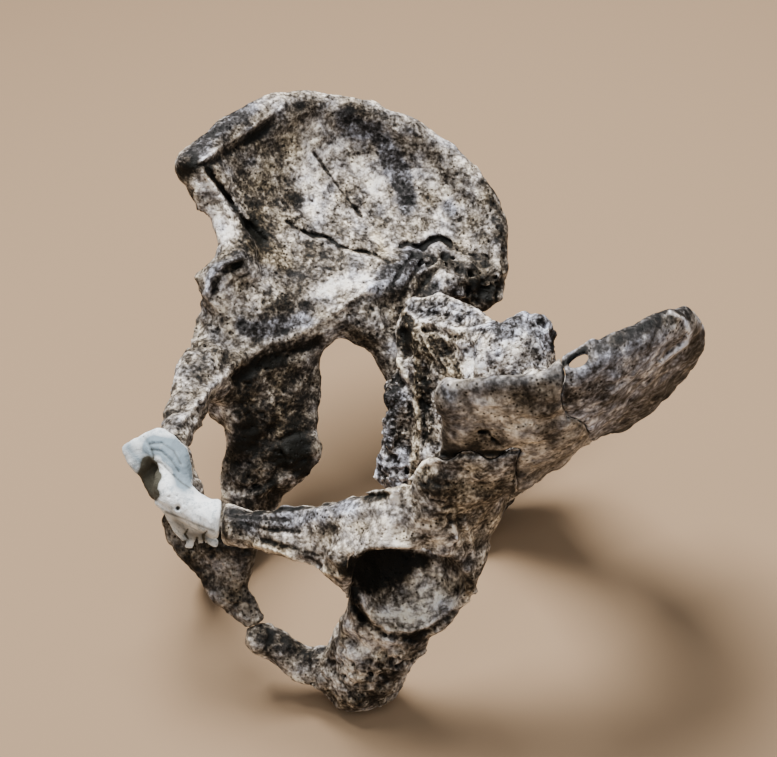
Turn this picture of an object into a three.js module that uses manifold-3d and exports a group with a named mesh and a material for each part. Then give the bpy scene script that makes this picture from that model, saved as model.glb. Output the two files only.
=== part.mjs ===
import * as THREE from "three";
import { mergeVertices } from "three/addons/utils/BufferGeometryUtils.js";
import Module from "manifold-3d";

const wasm = await Module();
wasm.setup();

// Driving sizes, in millimetres. The hip sockets set the scale: a large adult's is about 56 mm.
const SOCKET_RADIUS = 24;
const SOCKET_WALL = 3.6;
const SOCKET_DEPTH_PAST_CENTRE = 2;
const SOCKET_MOUTH = 1.4 * SOCKET_RADIUS;
const PIXELS_PER_MM = 2.25;
const VIEW_DISTANCE = 1100;
const VIEW_CENTRE = { across: 388.5, down: 378.5 };

// Bone flows into bone over BONE_BLEND, and a cut has its edge rounded over CUT_BLEND.
// Neighbouring pieces stay JOINT_GAP apart, and the two sides of an open fracture CRACK_GAP.
const BONE_BLEND = 9;
const PLASTER_BLEND = 4;
const CUT_BLEND = 3;
const EDGE_BLEND = 1.5;
const JOINT_GAP = 0.9;
const CRACK_GAP = 1.4;

// The pelvis sits on both ischia and the back of the sacrum, each worn flat by 0.8 mm there.
// UP is the way up then, and REST_ORIGIN the point of the floor under the middle of the
// pelvis, both in the view's own axes: x to the right, y up the picture, z to the viewer.
const UP = new THREE.Vector3(-0.1431, 0.8191, 0.5555).normalize();
const REST_ORIGIN = new THREE.Vector3(20.20, -86.18, -92.14);

// The shape is worked out on a lattice of CELL, from balls BALL_STEP apart. REACH is how far
// from a ball the lattice still feels it.
const CELL = 2.6;
const BALL_STEP = 1.6;
const REACH = 12;

// Every point below is [across, down, near, radius]. Across and down are where the middle of
// the bone lies in a view from the front left, in picture pixels, near is how many
// millimetres it stands in front of the pubic symphysis, and radius is half the thickness of
// the bone there. A rod is one line of points, and a plate is rows of them.
const rightHip = {
  blade: [
    [
      [222, 354, -86, 12], [246, 348, -88, 13], [278, 335, -91, 12],
      [312, 321, -93, 10], [345, 304, -94, 9], [374, 289, -96, 8.5],
      [398, 288, -98, 8], [412, 300, -99, 7.5], [424, 318, -98, 7],
    ],
    [
      [229, 312, -80, 9], [256, 306, -84, 10], [288, 297, -90, 8.5],
      [322, 287, -94, 7], [352, 277, -98, 6.5], [378, 270, -101, 6.5],
      [400, 273, -103, 7], [416, 288, -104, 7], [430, 305, -102, 7],
    ],
    [
      [232, 258, -77, 5.5], [260, 254, -88, 4.8], [290, 250, -97, 4.2],
      [322, 247, -103, 3.8], [354, 246, -108, 3.8], [384, 248, -111, 4.2],
      [410, 255, -113, 5.5], [428, 270, -110, 6.5], [438, 290, -106, 7],
    ],
    [
      [228, 226, -83, 5], [256, 210, -97, 3.8], [288, 200, -108, 3.5],
      [322, 195, -116, 3.4], [356, 197, -121, 3.4], [390, 205, -124, 3.5],
      [420, 220, -124, 4], [448, 248, -120, 5.5], [458, 278, -113, 6.5],
    ],
    [
      [216, 195, -86, 5], [244, 170, -98, 4], [280, 152, -109, 3.8],
      [316, 145, -117, 3.6], [356, 148, -124, 3.6], [398, 162, -127, 3.6],
      [436, 189, -128, 4], [466, 226, -126, 5], [474, 272, -117, 6.5],
    ],
    [
      [199, 167, -82, 8], [221, 136, -90, 6.3], [253, 117, -99, 6.5],
      [292, 104, -109, 6.2], [342, 108, -116, 6], [395, 123.5, -120, 6],
      [446, 154.5, -122, 6], [489, 210, -123, 6.6], [495, 266, -117, 7.2],
    ],
  ],
  notchRoof: [[292, 330, -94, 9], [322, 318, -96, 9], [345, 316, -98, 9], [362, 326, -99, 8.5]],
  backLimb: [[360, 306, -96, 10], [378, 329, -98, 8.8], [393, 361, -102, 7.2], [405, 394, -105, 5]],
  jointFace: [[390, 284, -100, 9], [397, 305, -102, 8], [402, 330, -105, 6.5]],
  tuberosity: [[440, 275, -112, 9], [470, 283, -114, 9], [488, 286, -115, 7.5], [480, 299, -113, 7]],
  quadrilateral: [
    [[236, 385, -86, 8], [258, 372, -88, 9], [284, 358, -92, 8], [312, 346, -97, 4.8]],
    [[237, 418, -87, 7.4], [260, 408, -90, 8], [286, 402, -95, 6.5], [311, 395, -98, 4]],
    [[241, 446, -94, 7], [262, 448, -97, 8], [286, 446, -98, 7], [307, 440, -97, 4.5]],
    [[240, 474, -100, 7], [258, 476, -104, 8.5], [278, 474, -105, 8.5], [298, 464, -102, 5.5]],
  ],
  spine: [[284, 464, -101, 8], [296, 462, -99, 7], [304, 450, -97, 5.3]],
  ischium: [[258, 460, -103, 12], [252, 488, -105, 12.5], [243, 518, -106, 13], [225, 547, -102, 13]],
  superiorRamus: [
    [224, 366, -84, 13], [197, 381, -62, 10.5], [187, 413, -44, 7.4],
    [175, 438, -27, 6.3], [181, 466, -15, 5.5], [186, 494, -10, 6],
  ],
  inferiorRamus: [[187, 498, -14, 6], [188, 522, -34, 6], [198, 544, -62, 6.5], [212, 556, -90, 9]],
  frontSpineLow: [[235, 264, -76, 6], [219, 277, -71, 6], [213, 292, -72, 5.8], [219, 310, -79, 5.6]],
  frontSpineHigh: [[197, 167, -81, 8.5], [204, 182, -83, 7.5]],
  frontBorder: [[205, 186, -84, 6], [223, 212, -84, 5.3], [238, 240, -80, 5.5], [239, 262, -76, 6.5]],
  socket: {
    centre: [220, 363, -100],
    axis: [-0.93, -0.08, -0.36],
    notch: [[202, 410, -102, 5], [208, 396, -102, 6]],
  },
};

const leftHip = {
  blade: [
    [
      [452, 399, 121, 7.5], [495, 393, 129, 6], [545, 384, 131, 6],
      [597, 358, 128, 6.6], [646, 336, 119, 6.4], [682, 322, 100, 6.2],
      [689, 342, 66, 6.5], [677, 364, 25, 6.5], [645, 392, -16, 8],
    ],
    [
      [455, 425, 108, 5], [492, 420, 116, 4], [538, 418, 118, 4],
      [585, 402, 117, 4], [630, 375, 108, 4], [660, 356, 92, 4.2],
      [666, 369, 62, 4.2], [653, 387, 28, 4.5], [622, 410, -17, 8],
    ],
    [
      [456, 448, 96, 6], [488, 446, 100, 5], [528, 446, 100, 4.5],
      [570, 433, 97, 4.5], [612, 407, 88, 4.2], [641, 385, 74, 4.2],
      [645, 395, 50, 4.2], [631, 410, 22, 4.5], [592, 422, -17, 7],
    ],
    [
      [450, 472, 84, 9], [478, 478, 80, 8.5], [510, 478, 72, 7.5],
      [541, 461, 62, 6.6], [568, 441.5, 52, 6.1], [583, 428, 38, 5.8],
      [585, 430, 22, 5.6], [576, 433, 5, 6], [563, 438, -15, 6.5],
    ],
  ],
  body: [
    [[440, 486, 80, 10], [464, 490, 68, 12], [489, 488, 52, 10]],
    [[430, 514, 68, 13], [446, 520, 55, 14.5], [461, 524, 42, 12.5]],
  ],
  superiorRamus: [
    [
      [396, 512, 64, 10], [350, 517, 55, 7.4], [315, 520, 44, 6.4],
      [275, 523, 32, 5.6], [237, 523, 19, 5.5],
    ],
    [
      [376, 546, 60, 11.5], [328, 547, 45, 8.2], [292, 543, 36, 6.2],
      [260, 536, 27, 5.2], [238, 531, 20, 5],
    ],
  ],
  corner: [[354, 555, 53, 7], [343, 564, 49, 4.3], [336, 571, 46, 3]],
  ischium: [[408, 600, 30, 14], [392, 630, 18, 14.5], [370, 660, 6, 14.5], [358, 676, -4, 12]],
  tuberosity: [[366, 678, -2, 12.7], [351, 687, -8, 8], [343, 677, -10, 7]],
  ischialRamus: [
    [347, 674, -8, 9.5], [320, 666, -11, 7.6], [300, 661, -12, 6.6],
    [280, 648, -12, 6.6], [261, 637, -11, 6.2],
  ],
  innerWall: [[374, 585, 36, 7.5], [366, 618, 20, 7.6], [353, 645, 2, 7.6]],
  outerWall: [[484, 500, 52, 8.4], [473, 530, 47, 7.2], [469, 558, 47, 6]],
  socket: {
    centre: [408, 581, 50],
    axis: [0.02, -0.75, 0.66],
    notch: [[342, 614, 56, 6], [358, 607, 52, 6.5]],
    wornRim: [
      [[436, 560, 78, 8], [452, 563, 76, 6.5]],
      [[386, 568, 67, 10], [372, 568, 62, 10]],
    ],
  },
};

const leftPubis = [
  [
    [178, 520, -16, 6.6], [189, 546, -16, 6.6], [208, 570, -14, 6.2],
    [219, 592, -13, 6.2], [236, 603, -12, 5.6], [250, 618, -10, 4.4],
  ],
  [
    [236, 530, -4, 6.5], [240, 548, -6, 7], [237, 568, -9, 6.2],
    [234, 588, -11, 5.8], [243, 602, -11, 5.2], [254, 619, -10, 4.4],
  ],
];

const sacrum = {
  firstBody: [
    [[510, 326, -46, 4.8], [525, 323, -48, 5], [539, 327, -50, 5], [552, 335, -52, 4.2]],
    [[498, 343, -45, 7], [516, 341, -46, 8], [533, 341, -49, 8], [544, 346, -52, 5.4]],
    [[492, 362, -46, 8], [512, 362, -48, 9], [530, 362, -51, 9], [541, 363, -54, 6]],
    [[492, 384, -50, 9], [512, 386, -54, 10], [529, 388, -57, 9], [540, 388, -60, 7]],
  ],
  wing: [
    [[496, 337, -52, 5], [472, 318, -66, 5], [440, 307, -79, 5], [414, 308, -88, 4.5]],
    [[494, 352, -48, 7], [465, 345, -64, 7], [435, 335, -78, 7], [410, 330, -88, 6]],
  ],
  front: [
    [
      [418, 340, -86, 7], [432, 350, -82, 7], [470, 370, -68, 8],
      [510, 385, -56, 9], [545, 392, -32, 9], [566, 396, -10, 8],
    ],
    [
      [406, 387, -92, 6.4], [424, 400, -89, 7], [465, 410, -76, 8],
      [500, 415, -68, 8], [535, 425, -48, 8], [556, 430, -24, 7],
    ],
    [
      [395, 430, -97, 7], [416, 445, -95, 7], [452, 455, -86, 7],
      [485, 462, -80, 7], [510, 466, -66, 7], [528, 466, -48, 6.5],
    ],
    [
      [396, 477, -100, 7.2], [414, 485, -99, 7], [440, 500, -98, 7],
      [462, 505, -94, 7], [480, 500, -84, 6], [492, 495, -74, 5],
    ],
    [
      [414, 505, -101, 6.6], [432, 520, -100, 6], [448, 530, -98, 6],
      [462, 534, -94, 6], [472, 530, -88, 5.5], [480, 524, -82, 5],
    ],
  ],
  back: [
    [
      [443, 347, -92, 7], [457, 357, -88, 8], [495, 377, -76, 9],
      [535, 392, -66, 9], [570, 399, -42, 8.5], [585, 404, -22, 7],
    ],
    [
      [436, 390, -98, 6], [452, 407, -97, 7], [490, 417, -86, 9],
      [525, 422, -78, 9], [556, 428, -56, 8], [570, 430, -34, 6.5],
    ],
    [
      [424, 437, -104, 6], [444, 452, -103, 7], [476, 462, -96, 8],
      [504, 466, -90, 7.5], [522, 466, -74, 7], [532, 462, -58, 6],
    ],
    [
      [424, 480, -106, 6], [438, 492, -106, 6.5], [460, 506, -105, 7],
      [480, 508, -101, 7], [492, 499, -92, 6], [498, 492, -82, 5],
    ],
  ],
  backCrest: [[549, 402, -82, 6], [540, 436, -94, 5.5], [514, 478, -105, 5], [488, 508, -109, 5]],
  hollows: [[440, 350, -60, 8], [462, 358, -52, 8]],
};

const plaster = {
  sleeve: [
    [[164, 477, 0, 4], [179, 487, 4, 4.3], [197, 503, 9, 4.6], [214, 513, 13, 4.6]],
    [[165, 487, 5, 5], [181, 498, 9, 5.5], [200, 511, 13, 5.5], [214, 518, 16, 5]],
    [[166, 500, 3, 5], [181, 508, 6, 5.5], [198, 517, 10, 5], [212, 526, 14, 4]],
  ],
  strap: [
    [
      [150, 439, -8, 3.3], [160, 436.5, -7, 3.6], [171, 443, -5, 3.4],
      [180, 453, -4, 3.4], [184, 466, -3, 3.2], [186, 480, -2, 3],
    ],
    [
      [151, 448, -4, 3.2], [158, 447, -2, 3.4], [167, 453, 0, 3.6],
      [175, 462, 1, 3.6], [180, 472, 2, 3.4], [184, 483, 2, 3.2],
    ],
    [
      [151, 454, -4, 3], [157, 456, -1, 3], [163, 461, 1, 3.2],
      [170, 468, 3, 3.2], [177, 477, 3, 3.2], [183, 485, 4, 3.2],
    ],
  ],
  lobe: [
    [[129, 450, -8, 3], [138, 446, -7, 3.4], [149, 444, -7, 3.4]],
    [[134, 460, -7, 3], [141, 457, -6, 3.2], [149, 451, -6, 3.4]],
    [[140, 468, -7, 3], [144, 464, -6, 3], [150, 457, -6, 3]],
  ],
  web: [
    [[148, 463, -10, 3], [156, 467, -9, 3], [165, 472, -8, 3]],
    [[147, 475, -10, 3.2], [154, 479, -9, 3.6], [162, 483, -6, 4]],
    [[155, 490, -9, 3.4], [159, 493, -8, 3.8], [165, 497, -4, 4.5]],
  ],
  drape: [
    [[171, 510, -1, 3.6], [184, 517, 1, 3.6], [200, 524, 4, 3.6]],
    [[178, 526, -6, 3.2], [190, 531, -4, 3.2], [204, 535, -2, 3.2]],
    [[186, 538, -9, 2.8], [194, 547, -9, 2.8], [207, 540, -7, 2.8]],
  ],
};

// Open fractures of the left hip bone, as lines in the same view.
const bodyFracture = [[[517, 455], [424, 461]], [[511, 508], [517, 455]]];
const crestFracture = [[[567, 416], [592, 436]], [[563, 340], [567, 416]]];

function place([across, down, near, radius]) {
  const scale = (VIEW_DISTANCE - near) / VIEW_DISTANCE / PIXELS_PER_MM;
  return [(across - VIEW_CENTRE.across) * scale, (VIEW_CENTRE.down - down) * scale, near, radius];
}

function through(points, steps) {
  const at = (i) => points[THREE.MathUtils.clamp(i, 0, points.length - 1)];
  return Array.from({ length: steps + 1 }, (_, step) => {
    const t = (step / steps) * (points.length - 1);
    const i = Math.min(points.length - 2, Math.floor(t));
    const f = t - i;
    const [a, b, c, d] = [at(i - 1), at(i), at(i + 1), at(i + 2)];
    return b.map((value, m) => {
      const bend = (2 * a[m] - 5 * value + 4 * c[m] - d[m]) * f * f;
      const twist = (3 * value - a[m] - 3 * c[m] + d[m]) * f ** 3;
      return value + 0.5 * ((c[m] - a[m]) * f + bend + twist);
    });
  });
}

function lengthOf(line) {
  let sum = 0;
  for (let i = 1; i < line.length; i++) {
    const [a, b] = [line[i - 1], line[i]];
    sum += Math.hypot(b[0] - a[0], b[1] - a[1], b[2] - a[2]);
  }
  return sum;
}

function rod(points) {
  const line = points.map(place);
  return through(line, Math.ceil(lengthOf(line) / BALL_STEP));
}

function plate(rows) {
  const lines = rows.map((row) => row.map(place));
  const across = Math.ceil(Math.max(...lines.map(lengthOf)) / BALL_STEP);
  const dense = lines.map((line) => through(line, across));
  const columns = dense[0].map((_, i) => dense.map((line) => line[i]));
  const down = Math.ceil(Math.max(...columns.map(lengthOf)) / BALL_STEP);
  return columns.flatMap((column) => through(column, down));
}

function socket({ centre, axis, notch, wornRim = [] }) {
  const [x, y, z] = place([...centre, 0]);
  const along = (distance, radius) => [
    ...[x, y, z].map((v, i) => v + axis[i] * distance),
    radius,
  ];
  const wall = [along(0, SOCKET_RADIUS + SOCKET_WALL)];
  const hollow = [notch, ...wornRim].flatMap(rod);
  for (let d = 0; d < SOCKET_MOUTH; d += BALL_STEP) hollow.push(along(d, SOCKET_RADIUS));
  return { wall, hollow, axis, rim: along(SOCKET_DEPTH_PAST_CENTRE, 0) };
}

function softMin(a, b, blend) {
  const h = Math.max(blend - Math.abs(a - b), 0) / blend;
  return Math.min(a, b) - (h * h * blend) / 4;
}

// Clay holds, at each point of the lattice, how far outside the surface the point is.
class Clay {
  constructor(balls) {
    const reach = (i, way) => Math.max(...balls.map((b) => way * b[i] + b[3])) + 2 * CELL;
    this.low = [0, 1, 2].map((i) => Math.floor(-reach(i, -1) / CELL));
    const high = [0, 1, 2].map((i) => Math.ceil(reach(i, 1) / CELL));
    this.size = this.low.map((l, i) => high[i] - l + 1);
    this.value = new Float32Array(this.size[0] * this.size[1] * this.size[2]).fill(REACH);
  }

  copy() {
    return Object.assign(Object.create(Clay.prototype), this, { value: this.value.slice() });
  }

  distance(balls) {
    const { low, size } = this;
    const out = new Float32Array(this.value.length).fill(REACH);
    const nearest = (v, i) => THREE.MathUtils.clamp(Math.round(v / CELL) - low[i], 0, size[i] - 1);
    for (const [x, y, z, r] of balls) {
      const from = [x, y, z].map((v, i) => nearest(v - r - REACH, i));
      const to = [x, y, z].map((v, i) => nearest(v + r + REACH, i));
      for (let k = from[2]; k <= to[2]; k++) {
        const dz = (low[2] + k) * CELL - z;
        for (let j = from[1]; j <= to[1]; j++) {
          const dy = (low[1] + j) * CELL - y;
          const row = (k * size[1] + j) * size[0];
          for (let i = from[0]; i <= to[0]; i++) {
            const dx = (low[0] + i) * CELL - x;
            const d = Math.sqrt(dx * dx + dy * dy + dz * dz) - r;
            if (d < out[row + i]) out[row + i] = d;
          }
        }
      }
    }
    return out;
  }

  add(balls, blend = BONE_BLEND) {
    const other = this.distance(balls);
    this.value.forEach((v, n) => (this.value[n] = softMin(v, other[n], blend)));
    return this;
  }

  cut(balls, blend = CUT_BLEND) {
    const other = this.distance(balls);
    this.value.forEach((v, n) => (this.value[n] = -softMin(-v, other[n], blend)));
    return this;
  }

  keep(inside, blend = EDGE_BLEND) {
    const { low, size } = this;
    let n = 0;
    for (let k = 0; k < size[2]; k++)
      for (let j = 0; j < size[1]; j++)
        for (let i = 0; i < size[0]; i++, n++) {
          const d = inside((low[0] + i) * CELL, (low[1] + j) * CELL, (low[2] + k) * CELL);
          this.value[n] = -softMin(-this.value[n], -d, blend);
        }
    return this;
  }

  clearOf(other, gap) {
    const [ox, oy, oz] = other.size;
    return this.keep((x, y, z) => {
      const i = Math.round(x / CELL) - other.low[0];
      const j = Math.round(y / CELL) - other.low[1];
      const k = Math.round(z / CELL) - other.low[2];
      if (i < 0 || j < 0 || k < 0 || i >= ox || j >= oy || k >= oz) return gap - REACH;
      return gap - other.value[(k * oy + j) * ox + i];
    });
  }
}

// The surface of the clay: each lattice cube is six tetrahedra, and each is cut where the
// distance changes sign.
const CUBE_TETRAHEDRA = [
  [0, 5, 1, 6], [0, 1, 2, 6], [0, 2, 3, 6],
  [0, 3, 7, 6], [0, 7, 4, 6], [0, 4, 5, 6],
];
const EDGE_MARGIN = 0.07;

function skin({ low, size, value }) {
  const [nx, ny, nz] = size;
  const layer = nx * ny;
  const corners = [0, 1, 1 + nx, nx, layer, layer + 1, layer + 1 + nx, layer + nx];
  const cell = (n) => [n % nx, Math.floor(n / nx) % ny, Math.floor(n / layer)];
  const vertices = [];
  const faces = [];
  const seen = new Map();
  const crossing = (inner, outer) => {
    const [a, b] = inner < outer ? [inner, outer] : [outer, inner];
    const key = a * value.length + b;
    if (!seen.has(key)) {
      const t = THREE.MathUtils.clamp(value[a] / (value[a] - value[b]), EDGE_MARGIN, 1 - EDGE_MARGIN);
      const to = cell(b);
      seen.set(key, vertices.length);
      vertices.push(cell(a).map((c, i) => CELL * (low[i] + c + t * (to[i] - c))));
    }
    return seen.get(key);
  };
  const middle = (nodes) =>
    [0, 1, 2].map((i) => nodes.reduce((sum, n) => sum + cell(n)[i], 0) / nodes.length);
  for (let k = 0; k < nz - 1; k++)
    for (let j = 0; j < ny - 1; j++)
      for (let i = 0; i < nx - 1; i++) {
        const n = k * layer + j * nx + i;
        const filled = corners.filter((c) => value[n + c] < 0).length;
        if (filled === 0 || filled === 8) continue;
        for (const tetrahedron of CUBE_TETRAHEDRA) {
          const nodes = tetrahedron.map((c) => n + corners[c]);
          const inner = nodes.filter((m) => value[m] < 0);
          const outer = nodes.filter((m) => value[m] >= 0);
          if (!inner.length || !outer.length) continue;
          const pairs = inner.flatMap((a) => outer.map((b) => [a, b]));
          if (pairs.length === 4) pairs.push(pairs.splice(2, 1)[0]);
          const ring = pairs.map((pair) => crossing(...pair));
          const way = middle(outer).map((v, m) => v - middle(inner)[m]);
          if (dot(cross(...ring.slice(0, 3).map((v) => vertices[v])), way) < 0) ring.reverse();
          for (let m = 2; m < ring.length; m++) faces.push([ring[0], ring[m - 1], ring[m]]);
        }
      }
  return { vertices, faces };
}

function cross(a, b, c) {
  const u = [b[0] - a[0], b[1] - a[1], b[2] - a[2]];
  const w = [c[0] - a[0], c[1] - a[1], c[2] - a[2]];
  return [u[1] * w[2] - u[2] * w[1], u[2] * w[0] - u[0] * w[2], u[0] * w[1] - u[1] * w[0]];
}

function dot(a, b) {
  return a[0] * b[0] + a[1] * b[1] + a[2] * b[2];
}

class Heap {
  items = [];
  push(item) {
    const { items } = this;
    let i = items.push(item) - 1;
    while (i > 0 && items[(i - 1) >> 1].cost > item.cost) {
      items[i] = items[(i - 1) >> 1];
      i = (i - 1) >> 1;
    }
    items[i] = item;
  }
  pop() {
    const { items } = this;
    const top = items[0];
    const last = items.pop();
    if (!items.length) return top;
    let i = 0;
    for (let child = 1; child < items.length; child = 2 * i + 1) {
      if (child + 1 < items.length && items[child + 1].cost < items[child].cost) child++;
      if (items[child].cost >= last.cost) break;
      items[i] = items[child];
      i = child;
    }
    items[i] = last;
    return top;
  }
}

// Thins the surface to a number of triangles: the edge whose loss moves the surface least
// closes up first. Each vertex carries the sum of its faces' squared plane distances.
const SHORT_EDGE_FIRST = 1e-3;
const TURN_LIMIT = 0.25;
const NEARLY_FLAT = 1e-5;
const SAME_COST = 1e-12;

function thin({ vertices, faces }, target) {
  const quadrics = vertices.map(() => new Float64Array(10));
  const around = vertices.map(() => new Set());
  faces.forEach((face, f) => {
    const n = cross(...face.map((v) => vertices[v]));
    const area = Math.hypot(...n);
    const [a, b, c] = n.map((x) => x / area);
    const d = -dot([a, b, c], vertices[face[0]]);
    const plane = [a * a, a * b, a * c, a * d, b * b, b * c, b * d, c * c, c * d, d * d];
    for (const v of face) {
      around[v].add(f);
      plane.forEach((x, i) => (quadrics[v][i] += x * area));
    }
  });
  const cost = (q, [x, y, z]) => {
    const squares = q[0] * x * x + q[4] * y * y + q[7] * z * z;
    const products = q[1] * x * y + q[2] * x * z + q[5] * y * z;
    return squares + 2 * (products + q[3] * x + q[6] * y + q[8] * z) + q[9];
  };
  const lowest = (q) => {
    const m = new THREE.Matrix3().set(q[0], q[1], q[2], q[1], q[4], q[5], q[2], q[5], q[7]);
    if (Math.abs(m.determinant()) < NEARLY_FLAT * (q[0] + q[4] + q[7]) ** 3) return [];
    return [new THREE.Vector3(-q[3], -q[6], -q[8]).applyMatrix3(m.invert()).toArray()];
  };
  const stamp = new Uint32Array(vertices.length);
  const heap = new Heap();
  const queue = (a, b) => {
    const q = quadrics[a].map((x, i) => x + quadrics[b][i]);
    const [p, r] = [vertices[a], vertices[b]];
    const middle = p.map((x, i) => (x + r[i]) / 2);
    const length = Math.hypot(p[0] - r[0], p[1] - r[1], p[2] - r[2]);
    const away = (s) => Math.hypot(s[0] - middle[0], s[1] - middle[1], s[2] - middle[2]);
    let best = { cost: Infinity };
    for (const point of [...lowest(q).filter((s) => away(s) < length), middle, p, r]) {
      const value = cost(q, point) + SHORT_EDGE_FIRST * length * length;
      if (value >= best.cost - SAME_COST) continue;
      best = { cost: value, point, a, b, stamps: [stamp[a], stamp[b]] };
    }
    heap.push(best);
  };
  const ring = (v) => new Set([...around[v]].flatMap((f) => faces[f]).filter((w) => w !== v));
  const flips = (v, other, point) =>
    [...around[v]].some((f) => {
      if (faces[f].includes(other)) return false;
      const before = cross(...faces[f].map((w) => vertices[w]));
      const after = cross(...faces[f].map((w) => (w === v ? point : vertices[w])));
      return dot(before, after) < TURN_LIMIT * Math.hypot(...before) * Math.hypot(...after);
    });
  vertices.forEach((_, v) => ring(v).forEach((w) => w > v && queue(v, w)));
  let count = faces.length;
  while (count > target && heap.items.length) {
    const { point, a, b, stamps } = heap.pop();
    if (stamp[a] !== stamps[0] || stamp[b] !== stamps[1]) continue;
    const ringB = ring(b);
    if ([...ring(a)].filter((w) => ringB.has(w)).length !== 2) continue;
    if (flips(a, b, point) || flips(b, a, point)) continue;
    vertices[a] = point;
    quadrics[b].forEach((x, i) => (quadrics[a][i] += x));
    for (const f of [...around[b]]) {
      if (faces[f].includes(a)) {
        faces[f].forEach((w) => around[w].delete(f));
        faces[f] = null;
        count--;
      } else {
        faces[f] = faces[f].map((w) => (w === b ? a : w));
        around[a].add(f);
      }
    }
    around[b].clear();
    stamp[a]++;
    stamp[b]++;
    ring(a).forEach((w) => queue(a, w));
  }
  return { vertices, faces: faces.filter(Boolean) };
}

// A fracture is a fan of planes that all pass through the viewer, so it shows as its lines.
// It wanders off them by up to RAGGED.
const RAGGED = 1;
const RAGGED_TURNS = 0.34;

function fracture(lines) {
  const planes = lines.map((line) => {
    const [a, b] = line.map((point) => place([...point, 0, 0]).slice(0, 3));
    const normal = cross([0, 0, VIEW_DISTANCE], a, b);
    return normal.map((v) => v / Math.hypot(...normal));
  });
  const wave = (x, y) => RAGGED * (Math.sin(RAGGED_TURNS * x) + Math.sin(RAGGED_TURNS * y + 1));
  return (x, y, z) => Math.max(...planes.map((n) => dot(n, [x, y, z - VIEW_DISTANCE]))) + wave(x, y);
}

function modelled(rods, plates, joint) {
  const parts = [...plates.map(plate), ...rods.map(rod)];
  const clay = new Clay([...parts.flat(), ...(joint ? joint.wall : [])]);
  if (joint) {
    const { wall, rim, axis } = joint;
    clay.add(wall, EDGE_BLEND).keep((x, y, z) => dot(axis, [x - rim[0], y - rim[1], z - rim[2]]));
  }
  for (const part of parts) clay.add(part);
  return joint ? clay.cut(joint.hollow) : clay;
}

function rightHipBone() {
  const { blade, quadrilateral, notchRoof, backLimb, jointFace, tuberosity } = rightHip;
  const { spine, ischium, superiorRamus, inferiorRamus } = rightHip;
  const { frontSpineLow, frontSpineHigh, frontBorder } = rightHip;
  const back = [notchRoof, backLimb, jointFace, tuberosity, spine, ischium];
  const front = [superiorRamus, inferiorRamus, frontSpineLow, frontSpineHigh, frontBorder];
  return modelled([...back, ...front], [blade, quadrilateral], socket(rightHip.socket));
}

function leftHipBone() {
  const { blade, body, superiorRamus, corner, ischium, tuberosity, ischialRamus } = leftHip;
  const rods = [corner, ischium, tuberosity, ischialRamus, leftHip.innerWall, leftHip.outerWall];
  return modelled(rods, [blade, body, superiorRamus], socket(leftHip.socket));
}

// The part of the clay on one side of an open fracture: side is 1 within its lines, -1 beyond.
function broken(clay, lines, side) {
  const inside = fracture(lines);
  return clay.copy().keep((x, y, z) => side * inside(x, y, z) + CRACK_GAP / 2);
}

function clearOfAll(clay, others) {
  return others.reduce((rest, other) => rest.clearOf(other, JOINT_GAP), clay);
}

function sacrumBone() {
  const { firstBody, wing, front, back, backCrest, hollows } = sacrum;
  return modelled([backCrest], [firstBody, wing, front, back]).cut(hollows.map(place));
}

function plasterFill() {
  const { sleeve, strap, lobe, web, drape } = plaster;
  const parts = [sleeve, strap, lobe, web, drape].map(plate);
  const clay = new Clay(parts.flat());
  for (const part of parts) clay.add(part, PLASTER_BLEND);
  return clay;
}

// From the view's axes to the resting ones: +Z up, and +Y the way the viewer looks.
function restPlacement() {
  const ahead = new THREE.Vector3(0, 0, -1).projectOnPlane(UP).normalize();
  const turn = new THREE.Matrix4().makeBasis(ahead.clone().cross(UP), ahead, UP).transpose();
  return turn.multiply(new THREE.Matrix4().makeTranslation(REST_ORIGIN.clone().negate()));
}

function solid(geometry) {
  const { position } = geometry.attributes;
  const triVerts = new Uint32Array(geometry.index.array);
  return new wasm.Manifold(new wasm.Mesh({ numProp: 3, vertProperties: position.array, triVerts }));
}

function geometryOf(vertProperties, triVerts) {
  const geometry = new THREE.BufferGeometry();
  geometry.setAttribute("position", new THREE.Float32BufferAttribute(vertProperties, 3));
  return geometry.setIndex([...triVerts]);
}

const FLOOR_SIZE = 800;
const underFloor = new THREE.BoxGeometry(FLOOR_SIZE, FLOOR_SIZE, FLOOR_SIZE);
underFloor.translate(0, 0, -FLOOR_SIZE / 2);
underFloor.deleteAttribute("normal");
underFloor.deleteAttribute("uv");
const floor = solid(mergeVertices(underFloor));
const placement = restPlacement();

function piece(name, clay, triangles, color, roughness) {
  const { vertices, faces } = thin(skin(clay), triangles);
  const whole = geometryOf(vertices.flat(), faces.flat()).applyMatrix4(placement);
  const worn = solid(whole).subtract(floor).getMesh();
  const geometry = geometryOf(worn.vertProperties, worn.triVerts);
  const material = new THREE.MeshStandardMaterial({ color, roughness, metalness: 0 });
  const mesh = new THREE.Mesh(geometry, material);
  mesh.name = name;
  return mesh;
}

const rightHipClay = rightHipBone();
const leftHipClay = leftHipBone();
const leftBodyClay = broken(leftHipClay, bodyFracture, 1);
const leftUpperClay = broken(leftHipClay, bodyFracture, -1);
const leftIliumClay = broken(leftUpperClay, crestFracture, -1);
const leftCrestClay = broken(leftUpperClay, crestFracture, 1);
const leftPubisClay = clearOfAll(modelled([], [leftPubis]), [rightHipClay, leftBodyClay]);
const sacrumClay = clearOfAll(sacrumBone(), [rightHipClay, leftBodyClay, leftIliumClay, leftCrestClay]);
const plasterClay = clearOfAll(plasterFill(), [rightHipClay, leftBodyClay, leftPubisClay]);

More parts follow.
